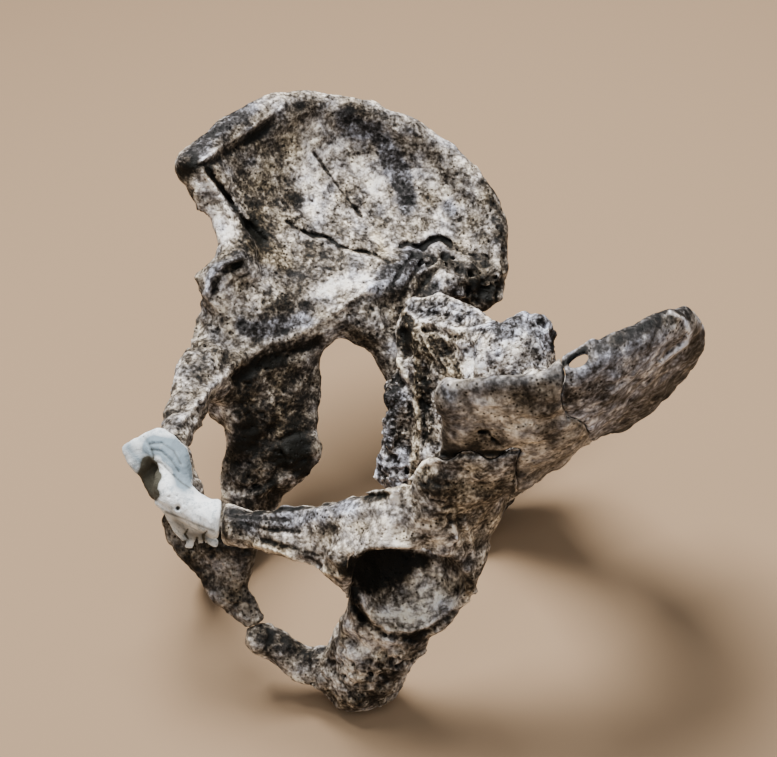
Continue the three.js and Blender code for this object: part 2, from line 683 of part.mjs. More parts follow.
const pelvis = new THREE.Group();
pelvis.add(
  piece("right_hip_bone", rightHipClay, 3100, 0x8f8478, 0.8),
  piece("left_hip_body", leftBodyClay, 1750, 0x9a8a78, 0.8),
  piece("left_ilium", leftIliumClay, 1000, 0x7d7361, 0.75),
  piece("left_iliac_crest", leftCrestClay, 620, 0x4f463f, 0.8),
  piece("left_pubis", leftPubisClay, 420, 0x5d5249, 0.8),
  piece("sacrum", sacrumClay, 1600, 0x6f6a64, 0.9),
  piece("plaster_fill", plasterClay, 750, 0xdfe5e6, 0.9),
);

export default pelvis;
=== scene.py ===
# %% [markdown]
# # A fossil pelvis, put together again
# This lesson builds a broken fossil pelvis: the right hip bone, four pieces of the left one,
# the sacrum, and the plaster that holds the two sides together at the front.
# Bone has no flat sheets and no sharp tubes. It swells, thins and flows from one form into the
# next, so each piece is modelled as clay: a lattice of distances to a skeleton of balls.
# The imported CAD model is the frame: it gives the box, the floor and the name of each piece.

import functools
import math
import time

import bpy
import numpy as np
import openvdb
from mathutils import Matrix, Vector


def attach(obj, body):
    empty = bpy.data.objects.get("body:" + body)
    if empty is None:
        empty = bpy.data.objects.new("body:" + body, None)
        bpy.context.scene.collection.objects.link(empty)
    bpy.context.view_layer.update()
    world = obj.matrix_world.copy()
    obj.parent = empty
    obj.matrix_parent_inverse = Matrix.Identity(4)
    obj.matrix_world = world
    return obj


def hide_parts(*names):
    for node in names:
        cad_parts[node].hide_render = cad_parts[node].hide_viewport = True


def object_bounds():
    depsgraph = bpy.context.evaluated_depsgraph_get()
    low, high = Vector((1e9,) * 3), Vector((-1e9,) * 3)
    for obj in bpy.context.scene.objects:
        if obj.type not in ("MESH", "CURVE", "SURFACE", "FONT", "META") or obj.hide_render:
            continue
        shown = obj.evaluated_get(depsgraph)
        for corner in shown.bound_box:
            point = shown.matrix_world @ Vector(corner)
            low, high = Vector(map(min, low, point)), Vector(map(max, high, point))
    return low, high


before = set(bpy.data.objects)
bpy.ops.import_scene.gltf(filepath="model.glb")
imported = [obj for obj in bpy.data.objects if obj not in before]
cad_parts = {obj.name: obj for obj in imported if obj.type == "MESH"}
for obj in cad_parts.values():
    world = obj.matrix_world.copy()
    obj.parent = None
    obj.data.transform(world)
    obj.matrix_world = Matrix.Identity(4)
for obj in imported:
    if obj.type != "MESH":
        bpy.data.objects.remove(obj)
cad_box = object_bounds()
started = time.time()
print("the frame's pieces:", ", ".join(sorted(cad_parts)))

# %% [markdown]
# ## Where a point of the picture lies
# Every form below is placed the way a sculptor works from one view: how far across and down
# the picture it is, in pixels, and how near it is, in millimetres. The eye is 1.1 m away, so
# things further off are drawn smaller, and `place` allows for that.
# The pelvis rests on both ischia and the back of the sacrum. `UP` is the way up then, in the
# view's own axes: x to the right, y up the picture, z towards the eye.

# %% From the picture to the floor
MM = 0.001
PICTURE_WIDTH = 777
PIXELS_PER_MM = 2.25
EYE_DISTANCE = 1100.0
PICTURE_CENTRE = np.array((388.5, 378.5))
REST_ORIGIN = np.array((20.20, -86.18, -92.14))


def unit(vector):
    return np.asarray(vector, float) / np.linalg.norm(vector)


UP = unit((-0.1431, 0.8191, 0.5555))
AWAY = np.array((0.0, 0.0, -1.0))
ahead = unit(AWAY - UP * (UP @ AWAY))
TO_REST = np.array((np.cross(ahead, UP), ahead, UP))


def place(point):
    """Puts [across, down, near, radius] into the view's axes, in millimetres."""
    across, down, near, radius = point
    scale = (EYE_DISTANCE - near) / EYE_DISTANCE / PIXELS_PER_MM
    x, y = (across - PICTURE_CENTRE[0]) * scale, (PICTURE_CENTRE[1] - down) * scale
    return np.array((x, y, near, radius))


def in_picture(spots):
    """The pixels, across and down, where spots in the view's axes are seen."""
    scale = EYE_DISTANCE * PIXELS_PER_MM / (EYE_DISTANCE - spots[:, 2])
    return PICTURE_CENTRE + spots[:, :2] * (1, -1) * scale[:, None]


def at_rest(spots):
    """Spots in the view's axes, in millimetres, where they rest on the floor, in metres."""
    return (np.asarray(spots) - REST_ORIGIN) @ TO_REST.T * MM


# %% [markdown]
# ## Camera, floor and light
# The eye of the picture becomes the camera. Its lens is worked out from the width of the
# view, so that one pixel here is one pixel there. The floor is a plain pale sheet. One broad
# light hangs over the top of the picture, because the bones' hollows are dark on their upper
# sides, and a weaker one and the sky fill the shadows.

# %% Camera
SENSOR = 36.0
camera_data = bpy.data.cameras.new("eye")
camera_data.sensor_width = SENSOR
camera_data.lens = SENSOR * EYE_DISTANCE * PIXELS_PER_MM / PICTURE_WIDTH
camera = bpy.data.objects.new("eye", camera_data)
bpy.context.collection.objects.link(camera)
turn = Matrix(TO_REST.tolist()).to_4x4()
camera.matrix_world = Matrix.Translation(at_rest((0, 0, EYE_DISTANCE))) @ turn
bpy.context.scene.camera = camera
print(f"lens {camera_data.lens:.1f} mm, {camera.location.length:.2f} m from the pelvis")

# %% Floor and light
FLOOR_COLOUR = (0.295, 0.204, 0.128, 1)
FLOOR_REACH = 8.0
FLOOR_ROUGHNESS, FLOOR_SHINE = 0.9, 0.1
WARM_LIGHT, COOL_LIGHT = (1, 0.98, 0.95), (0.96, 0.98, 1)
SKY_COLOUR, SKY_STRENGTH = (1, 0.97, 0.93, 1), 0.31


def make_floor():
    sheet = bpy.data.meshes.new("floor")
    ends = [(-1, -1), (1, -1), (1, 1), (-1, 1)]
    corners = [(x * FLOOR_REACH, y * FLOOR_REACH, 0) for x, y in ends]
    sheet.from_pydata(corners, [], [(0, 1, 2, 3)])
    floor = bpy.data.objects.new("floor", sheet)
    bpy.context.collection.objects.link(floor)
    finish = bpy.data.materials.new("pale_floor")
    finish.use_nodes = True
    shader = finish.node_tree.nodes["Principled BSDF"]
    shader.inputs["Base Color"].default_value = FLOOR_COLOUR
    shader.inputs["Roughness"].default_value = FLOOR_ROUGHNESS
    shader.inputs["Specular IOR Level"].default_value = FLOOR_SHINE
    sheet.materials.append(finish)


def make_light(name, toward, distance, size, watts, tint):
    """A square softbox: toward is where it stands, seen from the pelvis, in the view's axes."""
    lamp = bpy.data.lights.new(name, "AREA")
    lamp.shape = "SQUARE"
    lamp.size = size
    lamp.energy = watts
    lamp.color = tint
    holder = bpy.data.objects.new(name, lamp)
    direction = TO_REST @ unit(toward)
    holder.location = direction * distance
    holder.rotation_mode = "QUATERNION"
    holder.rotation_quaternion = Vector(direction).to_track_quat("Z", "Y")
    bpy.context.collection.objects.link(holder)


def make_sky():
    sky = bpy.data.worlds.new("studio")
    sky.use_nodes = True
    background = sky.node_tree.nodes["Background"]
    background.inputs["Color"].default_value = SKY_COLOUR
    background.inputs["Strength"].default_value = SKY_STRENGTH
    bpy.context.scene.world = sky


make_floor()
make_light("top_softbox", toward=(-0.25, 1.0, 0.45), distance=1.5, size=0.8, watts=58, tint=WARM_LIGHT)
make_light("eye_side_softbox", toward=(0.1, 0.25, 1.0), distance=1.9, size=1.4, watts=13, tint=COOL_LIGHT)
make_sky()

# %% [markdown]
# ## Clay
# A skeleton of balls is laid along smooth curves: a rod is one curve, and a plate is rows of
# them. The lattice then holds, at each of its points, how far that point is outside the
# clay, in millimetres. Two forms join with `soft_min`, which rounds the fold between them,
# and a hollow is cut with the same sum turned inside out. Where the distance is nought is
# the skin.

# %% Curves of balls
BALL_STEP = 1.8


def through(points, steps):
    """A smooth curve through the points, as steps + 1 new ones."""
    points = np.asarray(points, float)
    ends = np.concatenate((points[:1], points, points[-1:]))
    t = np.linspace(0, len(points) - 1, steps + 1)
    i = np.minimum(t.astype(int), len(points) - 2)
    f = (t - i).reshape((-1,) + (1,) * (points.ndim - 1))
    a, b, c, d = (ends[i + k] for k in range(4))
    bend = (2 * a - 5 * b + 4 * c - d) * f**2
    twist = (3 * b - a - 3 * c + d) * f**3
    return b + 0.5 * ((c - a) * f + bend + twist)


def length_of(lines):
    """The length of the longest of several lines of points."""
    steps = np.linalg.norm(np.diff(lines[..., :3], axis=-2), axis=-1)
    return steps.sum(axis=-1).max()


def rod(points):
    line = np.array([place(p) for p in points])
    return through(line, math.ceil(length_of(line) / BALL_STEP))


def plate(rows):
    lines = np.array([[place(p) for p in row] for row in rows])
    along = math.ceil(length_of(lines) / BALL_STEP)
    dense = through(lines.swapaxes(0, 1), along)
    across = math.ceil(length_of(dense) / BALL_STEP)
    return through(dense.swapaxes(0, 1), across).reshape(-1, 4)


# %% The lattice
FINE = 1.06  # from one lattice point to the next, in mm
REACH = 10.0  # distances to the clay are known up to here
MARGIN = 3  # lattice points left free around the clay
SEAM = 2.5  # a cut by planes changes only distances below this
SEAM_BLEND = 1.0
HOLLOW_DEPTH = 0.9  # of a hollow that counts as deep
BLUR_ROUNDS = 3
PIECE_GAP = 0.9


def soft_min(a, b, blend):
    h = np.maximum(blend - np.abs(a - b), 0) / blend
    return np.minimum(a, b) - h * h * blend / 4


class Clay:
    def __init__(self, balls, cell):
        self.cell = cell
        low, high = (balls[:, :3] - balls[:, 3:]).min(0), (balls[:, :3] + balls[:, 3:]).max(0)
        self.low = np.floor(low / cell).astype(int) - MARGIN
        self.size = np.ceil(high / cell).astype(int) + MARGIN + 1 - self.low
        self.value = np.full(self.size, REACH, np.float32)

    def copy(self):
        other = object.__new__(Clay)
        other.cell, other.low, other.size = self.cell, self.low, self.size
        other.value = self.value.copy()
        return other

    def distance(self, balls):
        out = np.full(self.size, REACH, np.float32)
        ways = [(self.low[i] + np.arange(self.size[i])) * self.cell for i in range(3)]
        ways = [way.astype(np.float32) for way in ways]
        for ball in balls:
            middle, radius = ball[:3], ball[3]
            start = np.ceil((middle - radius - REACH) / self.cell).astype(int) - self.low
            end = np.floor((middle + radius + REACH) / self.cell).astype(int) - self.low + 1
            start = np.maximum(start, 0)
            part = tuple(slice(s, e) for s, e in zip(start, end))
            x, y, z = ((way[p] - np.float32(m)) ** 2 for way, p, m in zip(ways, part, middle))
            d = np.sqrt(x[:, None, None] + y[None, :, None] + z[None, None, :])
            d -= np.float32(radius)
            np.minimum(out[part], d, out=out[part])
        return out

    def add(self, balls, blend):
        self.value = soft_min(self.value, self.distance(balls), blend)
        return self

    def cut(self, balls, blend):
        self.value = -soft_min(-self.value, self.distance(balls), blend)
        return self

    def near_skin(self, depth):
        """The lattice points within depth of the skin, and where they are."""
        where = np.nonzero(np.abs(self.value) < depth)
        return where, (np.stack(where, 1) + self.low) * self.cell

    def keep(self, side):
        """Takes away the clay where side(spots) is over nought."""
        where = np.nonzero(self.value < SEAM)
        spots = (np.stack(where, 1) + self.low) * self.cell
        self.value[where] = -soft_min(-self.value[where], -side(spots), SEAM_BLEND)
        return self

    def at(self, spots):
        """The distance at any spots, read between the lattice points."""
        place_in = np.clip(spots / self.cell - self.low, 0, self.size - 1.001)
        i = place_in.astype(int)
        f = place_in - i
        found = 0
        for corner in np.ndindex(2, 2, 2):
            share = np.prod(np.where(corner, f, 1 - f), axis=1)
            found = found + share * self.value[tuple((i + corner).T)]
        spots = spots / self.cell
        outside = ((spots < self.low) | (spots > self.low + self.size)).any(1)
        return np.where(outside, REACH, found)

    def facing(self, where):
        """How much the skin at some lattice points faces the eye, from -1 to 1."""
        steps = []
        for axis in range(3):
            ends = []
            for way in (1, -1):
                index = list(where)
                index[axis] = np.clip(index[axis] + way, 0, self.size[axis] - 1)
                ends.append(self.value[tuple(index)])
            steps.append(ends[0] - ends[1])
        slope = np.stack(steps, 1)
        return slope[:, 2] / (np.linalg.norm(slope, axis=1) + 1e-9)

    def facing_at(self, points):
        """The same at any points of the skin."""
        step = np.array((0, 0, self.cell))
        rise = self.at(points + step) - self.at(points - step)
        return np.clip(rise / (2 * self.cell), -1, 1)

    def hollow_at(self, points):
        """How deep points lie in a hollow: 1 is deep, 0 is flat, and -1 is a sharp edge."""
        blurred = self.copy()
        for axis in (0, 1, 2) * BLUR_ROUNDS:
            ends = np.roll(blurred.value, 1, axis) + np.roll(blurred.value, -1, axis)
            blurred.value = blurred.value / 2 + ends / 4
        return -blurred.at(points) / HOLLOW_DEPTH

    def clear_of(self, others):
        """Leaves a gap to the clays beside this one."""
        for other in others:
            self.keep(lambda spots: PIECE_GAP - other.at(spots))
        return self


# %% Clay from a skeleton
BONE_BLEND = 9.0
SOCKET_BLEND = 3.0
WALL_BLEND = 1.5


def modelled(rods, plates, joint=None, cell=FINE, blend=BONE_BLEND):
    """Clay from a skeleton: joint is a ball socket, whose hollow is cut last."""
    parts = [plate(rows) for rows in plates] + [rod(points) for points in rods]
    everything = parts + ([joint["wall"]] if joint else [])
    clay = Clay(np.concatenate(everything), cell)
    if joint:
        clay.add(joint["wall"], WALL_BLEND)
        clay.keep(lambda spots: (spots - joint["rim"]) @ joint["axis"])
    for part in parts:
        clay.add(part, blend)
    if joint:
        clay.cut(joint["hollow"], SOCKET_BLEND)
    return clay


# %% [markdown]
# ## Noise that repeats
# Worn bone is full of pits, pores and lumps. They come from noise: a steady random number
# for each whole-number cell of space, read smoothly between the cells. The same seed gives
# the same bone on every run. For the lattice, where both the noise and the points lie in
# rows, it is made by three small matrix products, which is hundreds of times faster than
# asking at each point.

# %% Noise
TABLE = 64
# A pore's width, bend, margin and stray are shares of the room that it has.
PORE_WIDTH = 0.42
PORE_BEND, BEND_SIZE = 0.3, 1.7
PORE_MARGIN, PORE_STRAY = 0.15, 0.7
PORE_STEEPNESS = 1.8


@functools.lru_cache
def random_table(seed, numbers=1):
    """Steady random numbers from 0 to 1 for the cells of space, which repeat after TABLE cells."""
    shape = (TABLE, TABLE, TABLE, numbers) if numbers > 1 else (TABLE, TABLE, TABLE)
    return np.random.RandomState(seed).random_sample(shape).astype(np.float32)


def smooth(t):
    t = np.clip(t, 0, 1)
    return t * t * (3 - 2 * t)


def noise(spots, size, seed):
    """Smooth noise from -1 to 1 at any spots, with lumps about size mm across."""
    where = spots / size
    cell = np.floor(where).astype(np.int32)
    f = smooth(where - cell)
    table = random_table(seed)
    found = 0
    for corner in np.ndindex(2, 2, 2):
        i, j, k = ((cell + corner) & (TABLE - 1)).T
        near = np.where(corner, f, 1 - f)
        found = found + near[:, 0] * near[:, 1] * near[:, 2] * table[i, j, k]
    return 2 * found - 1


def rough_noise(spots, size, octaves, seed):
    total = sum(noise(spots, size / 2**k, seed + k) / 2**k for k in range(octaves))
    return total / (2 - 2 ** (1 - octaves))


def lattice_noise(clay, size, octaves, seed):
    """The same kind of noise at every point of a clay's lattice."""
    total = 0
    for octave in range(octaves):
        found = random_table(seed + octave)
        for axis in range(3):
            where = (clay.low[axis] + np.arange(clay.size[axis])) * clay.cell / (size / 2**octave)
            cell = np.floor(where).astype(int)
            f = smooth(where - cell)
            weights = np.zeros((len(where), TABLE), np.float32)
            rows = np.arange(len(where))
            weights[rows, cell % TABLE] = 1 - f
            weights[rows, (cell + 1) % TABLE] = f
            found = np.tensordot(found, weights, axes=(0, 1))
        total = total + (2 * found - 1) / 2**octave
    return total / (2 - 2 ** (1 - octaves))


def pores(spots, size, seed, width=PORE_WIDTH):
    """1 in the middle of a pore, 0 in the bone between them."""
    bent = spots / size + PORE_BEND * noise(spots, size * BEND_SIZE, seed + 9)[:, None]
    cell = np.floor(bent).astype(np.int32)
    table = random_table(seed, 3)
    best = np.full(len(spots), 9.0, np.float32)
    for step in np.ndindex(3, 3, 3):
        near = cell + step - 1
        i, j, k = (near & (TABLE - 1)).T
        gap = bent - near - PORE_MARGIN - PORE_STRAY * table[i, j, k]
        best = np.minimum(best, np.einsum("ij,ij->i", gap, gap))
    return np.clip((width - np.sqrt(best)) / width * PORE_STEEPNESS, 0, 1)


# %% [markdown]
# ## Strokes
# A crack, a ridge, a worn patch and a stain are all strokes: a line across the picture with a
# width. `touch` says how strongly a stroke touches each spot of the bone. It looks only at
# skin that faces the eye, so a stroke on the inside of a thin blade doesn't reach its back,
# unless it goes all round, as those of `lumpy` and `shaved` do. The same strokes sculpt the
# clay and stain it.

# %% Strokes
FACING_STEEPNESS = 3
FAR = 1e9
RAGGED_EDGE = dict(size=9, octaves=3, seed=5)


class Patch:
    """Some spots of a bone, where the eye sees them, and how much they face it."""

    def __init__(self, spots, facing, clay=None, where=None):
        self.spots = spots.astype(np.float32)
        self.seen = in_picture(self.spots)
        self.turned = smooth(facing * FACING_STEEPNESS)
        self.clay, self.where = clay, where

    def rough(self, size, octaves, seed):
        if self.clay:
            return lattice_noise(self.clay, size, octaves, seed)[self.where]
        return rough_noise(self.spots, size, octaves, seed)


def touch(patch, line, width, ragged=0.0, all_round=False):
    """From 0 to 1: how strongly a stroke, width mm wide, along a line of pixels touches a patch."""
    turned = np.ones(len(patch.spots), np.float32) if all_round else patch.turned
    line = np.array(line if len(line) > 1 else line * 2, np.float32)
    reach = (width / 2 + ragged) * PIXELS_PER_MM
    beside = (patch.seen > line.min(0) - reach) & (patch.seen < line.max(0) + reach)
    near = np.nonzero(beside[:, 0] & beside[:, 1] & (turned > 0))[0]
    seen = patch.seen[near]
    best = np.full(len(near), FAR, np.float32)
    for a, b in zip(line[:-1], line[1:]):
        run = b - a
        t = np.clip((seen - a) @ run / max(run @ run, 1e-6), 0, 1)
        off = seen - a - t[:, None] * run
        best = np.minimum(best, off[:, 0] ** 2 + off[:, 1] ** 2)
    gap = np.sqrt(best) / PIXELS_PER_MM
    if ragged:
        gap = gap + ragged * rough_noise(patch.spots[near], **RAGGED_EDGE)
    out = np.zeros(len(patch.spots), np.float32)
    out[near] = smooth(1 - gap / (width / 2)) * turned[near]
    return out


# %% Tools that cut and raise
CRACK_WANDER = 0.45
CRUMBLE_WANDER = 6.0
FAINT = 0.03
LUMP_OCTAVES = 3


def ridge(line, width, height):
    return lambda patch: -height * touch(patch, line, width)


def groove(line, width, depth):
    return lambda patch: depth * touch(patch, line, width)


def crack(line, width, depth):
    """A crack is a groove that wanders to and fro and opens and closes."""
    return lambda patch: depth * np.sqrt(touch(patch, line, width, ragged=CRACK_WANDER * width))


def on_share(patch, share, depth, size, seed, width=PORE_WIDTH):
    """Pores of a size, only where the share is over nought."""
    inside = np.nonzero(share > FAINT)[0]
    out = np.zeros(len(share), np.float32)
    out[inside] = depth * share[inside] * pores(patch.spots[inside], size, seed, width)
    return out


def crumbled(line, width, pore, depth, seed):
    """Spongy bone laid open: pores of that size within a stroke."""
    def tool(patch):
        return on_share(patch, touch(patch, line, width, CRUMBLE_WANDER), depth, pore, seed)
    return tool


def worn(size, depth, seed):
    """Low lumps and dips all over, facing the eye or not."""
    return lambda patch: depth * patch.rough(size, LUMP_OCTAVES, seed)


def lumpy(line, width, size, depth, seed):
    """Lumps and dips within a stroke, right through to the far side of the bone."""
    def tool(patch):
        return depth * touch(patch, line, width, all_round=True) * patch.rough(size, LUMP_OCTAVES, seed)
    return tool


def shaved(line, width, depth):
    """Takes a layer off all sides of the bone within a stroke."""
    return lambda patch: depth * touch(patch, line, width, all_round=True)


# %% Pits, and the sculpting
PIT_WIDTH = 0.34
GROUP_SIZE = 6
GROUP_STEEPNESS = 2.5
SCULPTED_DEPTH = 4.0


def pitted(size, depth, share, seed):
    """Small round pits on a share of the skin, in loose groups."""
    def tool(patch):
        groups = patch.rough(size * GROUP_SIZE, 2, seed + 3) + share
        return on_share(patch, smooth(groups * GROUP_STEEPNESS), depth, size, seed, PIT_WIDTH)
    return tool


def sculpt(clay, *tools):
    """Adds what each tool takes away, in mm, to the distances near the skin."""
    where, spots = clay.near_skin(SCULPTED_DEPTH)
    patch = Patch(spots, clay.facing(where), clay, where)
    clay.value[where] += sum(tool(patch) for tool in tools).astype(np.float32)
    return clay


# %% [markdown]
# ## From clay to mesh
# OpenVDB, which Blender carries, lays four-sided faces where the distance is nought. Crumbs
# that a pit has cut loose are dropped: only the largest body of faces stays. Each point of
# the mesh then keeps four numbers for its finish: how deep it lies in a hollow, how much it
# stands on an edge, its stain from dark to pale, which in a few places also holds painted light
# and shade, and its warmth from blue-grey to tan.

# %% Skin
def largest_body(count, faces):
    """The faces that hang together with most others."""
    label = np.arange(count)
    edges = np.concatenate([faces[:, [k, (k + 1) % 4]] for k in range(4)])
    while True:
        lowest = np.minimum(label[edges[:, 0]], label[edges[:, 1]])
        before = label.copy()
        np.minimum.at(label, edges[:, 0], lowest)
        np.minimum.at(label, edges[:, 1], lowest)
        label = label[label]
        if (before == label).all():
            break
    names, sizes = np.unique(label[faces[:, 0]], return_counts=True)
    return faces[label[faces[:, 0]] == names[sizes.argmax()]]


def skin(clay):
    """The points, in the view's axes and in millimetres, and the faces of a clay's skin."""
    grid = openvdb.FloatGrid(background=REACH)
    grid.copyFromArray(np.ascontiguousarray(clay.value, np.float32))
    points, quads = grid.convertToQuads(isovalue=0.0)
    quads = largest_body(len(points), quads.astype(np.int64))
    used, quads = np.unique(quads, return_inverse=True)
    return (points[used] + clay.low) * clay.cell, quads.reshape(-1, 4)


def make_mesh(name, points, quads):
    mesh = bpy.data.meshes.new(name)
    mesh.vertices.add(len(points))
    mesh.vertices.foreach_set("co", points.astype(np.float32).ravel())
    mesh.loops.add(quads.size)
    mesh.loops.foreach_set("vertex_index", quads.astype(np.int32).ravel())
    mesh.polygons.add(len(quads))
    mesh.polygons.foreach_set("loop_start", np.arange(0, quads.size, 4, dtype=np.int32))
    mesh.update(calc_edges=True)
    mesh.shade_smooth()
    return mesh


# %% A finished piece
STAIN_WANDER = 0.2


def keep_number(mesh, name, numbers):
    layer = mesh.attributes.new(name, "FLOAT", "POINT")
    layer.data.foreach_set("value", np.asarray(numbers, np.float32))


def painted(patch, strokes, all_round=False):
    """The sum of painted strokes, each (line, width, strength): mostly stains, and in a few places painted
    light and shade.
    """
    total = np.zeros(len(patch.spots))
    for line, width, strength in strokes:
        total += strength * touch(patch, line, width, width * STAIN_WANDER, all_round)
    return total


def make_piece(node, clay, stains_light_and_shade, warmth, material, shade=0.0, warm=0.0, all_round=False):
    """Turns a clay into the piece that stands for a CAD node, with its finish."""
    points, quads = skin(clay)
    hollow = clay.hollow_at(points)
    patch = Patch(points, clay.facing_at(points))
    low, high = (np.array(c) for c in cad_box)
    mesh = make_mesh(node + "_surface", np.clip(at_rest(points), low, high), quads)
    keep_number(mesh, "crevice", np.clip(hollow, 0, 1))
    keep_number(mesh, "edge", np.clip(-hollow, 0, 1))
    # In a few places the stain number holds painted light and shade as well.
    keep_number(mesh, "stain", shade + painted(patch, stains_light_and_shade, all_round))
    keep_number(mesh, "warmth", warm + painted(patch, warmth))
    piece = bpy.data.objects.new(node + "_surface", mesh)
    bpy.context.collection.objects.link(piece)
    mesh.materials.append(material)
    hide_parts(node)
    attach(piece, "root")
    print(f"{node}: {2 * len(quads)} triangles, {time.time() - started:.0f} s so far")


# %% [markdown]
# ## The finish of fossil bone
# Old bone in a cave takes up iron and manganese. Black and brown stains lie in clouds over
# cream bone, and break up into specks at their edges. One group of nodes, "fossil stain",
# makes that: three sizes of noise are added, pushed towards dark or pale by the painted
# stain, and a colour ramp turns the sum into black, brown, tan and cream, with black dots.
# A second group, "bone grain", gives the fine pores and dents that the light catches.
# Sums take many small nodes. A `Number` stands for one node's output, so that such a sum
# is written as plainly as any other.

# %% Helpers for node groups
FLOAT, COLOUR, VECTOR = "NodeSocketFloat", "NodeSocketColor", "NodeSocketVector"


class Number:
    """The output of a node. Adding or multiplying it adds a node to the tree."""

    def __init__(self, tree, output):
        self.tree, self.output = tree, output

    def sum(self, operation, *terms):
        made = add_node(self.tree, "ShaderNodeMath", operation=operation)
        for socket, value in zip(made.inputs, terms):
            fill(self.tree, socket, value)
        return Number(self.tree, made.outputs[0])

    def clamped(self):
        """Keeps the sum between 0 and 1."""
        self.output.node.use_clamp = True
        return self

    def __add__(self, other):
        return self.sum("ADD", self, other)

    def __sub__(self, other):
        return self.sum("SUBTRACT", self, other)

    def __rsub__(self, other):
        return self.sum("SUBTRACT", other, self)

    def __mul__(self, other):
        return self.sum("MULTIPLY", self, other)

    def __truediv__(self, other):
        return self.sum("DIVIDE", self, other)


def fill(tree, socket, value):
    """Links a socket to an output or a Number, or gives it a plain value."""
    value = value.output if isinstance(value, Number) else value
    if isinstance(value, bpy.types.NodeSocket):
        tree.links.new(value, socket)
    else:
        socket.default_value = value


def add_node(tree, kind, **settings):
    made = tree.nodes.new(kind)
    for key, value in settings.items():
        if key in made.inputs:
            fill(tree, made.inputs[key], value)
        else:
            setattr(made, key, value)
    return made


def mix_colours(tree, share, first, second, blend="MIX"):
    made = add_node(tree, "ShaderNodeMix", data_type="RGBA", blend_type=blend)
    for place_in_node, value in ((0, share), (6, first), (7, second)):
        fill(tree, made.inputs[place_in_node], value)
    return made.outputs[2]


def new_group(name, outputs, **numbers):
    """A group that is given a place, Where, and some numbers with their usual values."""
    group = bpy.data.node_groups.new(name, "ShaderNodeTree")
    group.interface.new_socket("Where", in_out="INPUT", socket_type=VECTOR)
    for title, value in numbers.items():
        group.interface.new_socket(title, in_out="INPUT", socket_type=FLOAT).default_value = value
    for title, kind in outputs.items():
        group.interface.new_socket(title, in_out="OUTPUT", socket_type=kind)
    sockets = group.nodes.new("NodeGroupInput").outputs
    given = {title: Number(group, sockets[title]) for title in ("Where", *numbers)}
    return group, given, group.nodes.new("NodeGroupOutput").inputs


def ramp(tree, value, stops):
    made = add_node(tree, "ShaderNodeValToRGB", Fac=value)
    while len(made.color_ramp.elements) < len(stops):
        made.color_ramp.elements.new(0.5)
    for element, (position, colour) in zip(made.color_ramp.elements, stops):
        element.position = position
        element.color = (*colour, 1)
    return made.outputs[0]


def noise_node(tree, where, size_mm, detail, roughness=0.6, stretch=0.0):
    made = add_node(tree, "ShaderNodeTexNoise", Scale=1 / (size_mm * MM), Detail=detail,
                    Roughness=roughness, Distortion=stretch, Vector=where)
    return Number(tree, made.outputs["Fac"])


def spots_node(tree, where, apart_mm, radius, edge):
    """Round spots: 1 in the middle, 0 outside their radius, with an edge as steep as edge says."""
    cells = add_node(tree, "ShaderNodeTexVoronoi", Scale=1 / (apart_mm * MM), Randomness=1.0, Vector=where)
    return ((radius - Number(tree, cells.outputs["Distance"])) * edge).clamped()


# %% The fossil stain group
BLACK_AT, WHITE_AT = -1.1, 0.7
BONE_COLOURS = [
    (0.0, (0.004, 0.004, 0.003)), (0.17, (0.012, 0.010, 0.008)), (0.33, (0.046, 0.038, 0.030)),
    (0.44, (0.110, 0.094, 0.078)), (0.61, (0.270, 0.243, 0.218)), (0.78, (0.620, 0.570, 0.525)),
    (0.89, (0.890, 0.850, 0.800)), (1.0, (0.970, 0.950, 0.920)),
]
BLUE_GREY = (0.78, 0.88, 1.12, 1)
GOLD = (1.04, 0.97, 0.80, 1)
TINT_SPREAD, TINT_STRENGTH = 5.0, 0.8
CLOUDS, BLOTS, SPECKS = 0.26, 0.45, 0.29
STAIN_PUSH, CREVICE_PUSH, EDGE_HIGHLIGHT_PUSH, DOT_PUSH = 0.30, 0.34, 0.22, 0.7
DOT_SPREAD = dict(apart_mm=2.4, radius=0.27, edge=7.0)
GROUPED_ABOVE, GROUP_EDGE = 0.42, 6.0


def dots(tree, where):
    """Round black dots, a millimetre wide, in loose groups."""
    dot = spots_node(tree, where, **DOT_SPREAD)
    groups = noise_node(tree, where, 9, 2) - GROUPED_ABOVE
    return dot * (groups * GROUP_EDGE).clamped()


def stain_group():
    outputs = dict(Color=COLOUR, Dark=FLOAT)
    numbers = dict(Stain=0.0, Warmth=0.0, Crevice=0.0, Edge=0.0, Contrast=5.4)
    tree, given, out = new_group("fossil stain", outputs, **numbers)
    where = given["Where"]
    clouds = noise_node(tree, where, 15, 3, 0.55)
    blots = noise_node(tree, where, 4.5, 4, 0.6, 0.3)
    specks = noise_node(tree, where, 1.6, 2, 0.5)
    mottled = clouds * CLOUDS + blots * BLOTS + specks * SPECKS
    push = (mottled - 0.5) * given["Contrast"] + given["Stain"] * STAIN_PUSH
    # Sharp edges are pushed paler: a painted highlight along them.
    push = push - given["Crevice"] * CREVICE_PUSH + given["Edge"] * EDGE_HIGHLIGHT_PUSH
    push = push - dots(tree, where) * DOT_PUSH
    level = ((push - BLACK_AT) / (WHITE_AT - BLACK_AT)).clamped()
    bone = ramp(tree, level, BONE_COLOURS)
    cold = mix_colours(tree, 1.0, bone, BLUE_GREY, "MULTIPLY")
    gold = mix_colours(tree, 1.0, bone, GOLD, "MULTIPLY")
    tint = (noise_node(tree, where, 9, 3) - 0.5) * TINT_SPREAD + given["Warmth"]
    toned = mix_colours(tree, (tint * -TINT_STRENGTH).clamped(), bone, cold)
    toned = mix_colours(tree, (tint * TINT_STRENGTH).clamped(), toned, gold)
    fill(tree, out["Color"], toned)
    fill(tree, out["Dark"], 1.0 - level)
    return tree


# %% The bone grain group
GRAIN_HEIGHT, DENT_HEIGHT, DARK_SINK = 0.55, 0.5, 0.35
PORE_SPREAD = dict(apart_mm=2.3, radius=0.32, edge=3.0)
ROUGHNESS, GRAIN_ROUGHNESS, DARK_SHEEN = 0.62, 0.25, 0.14


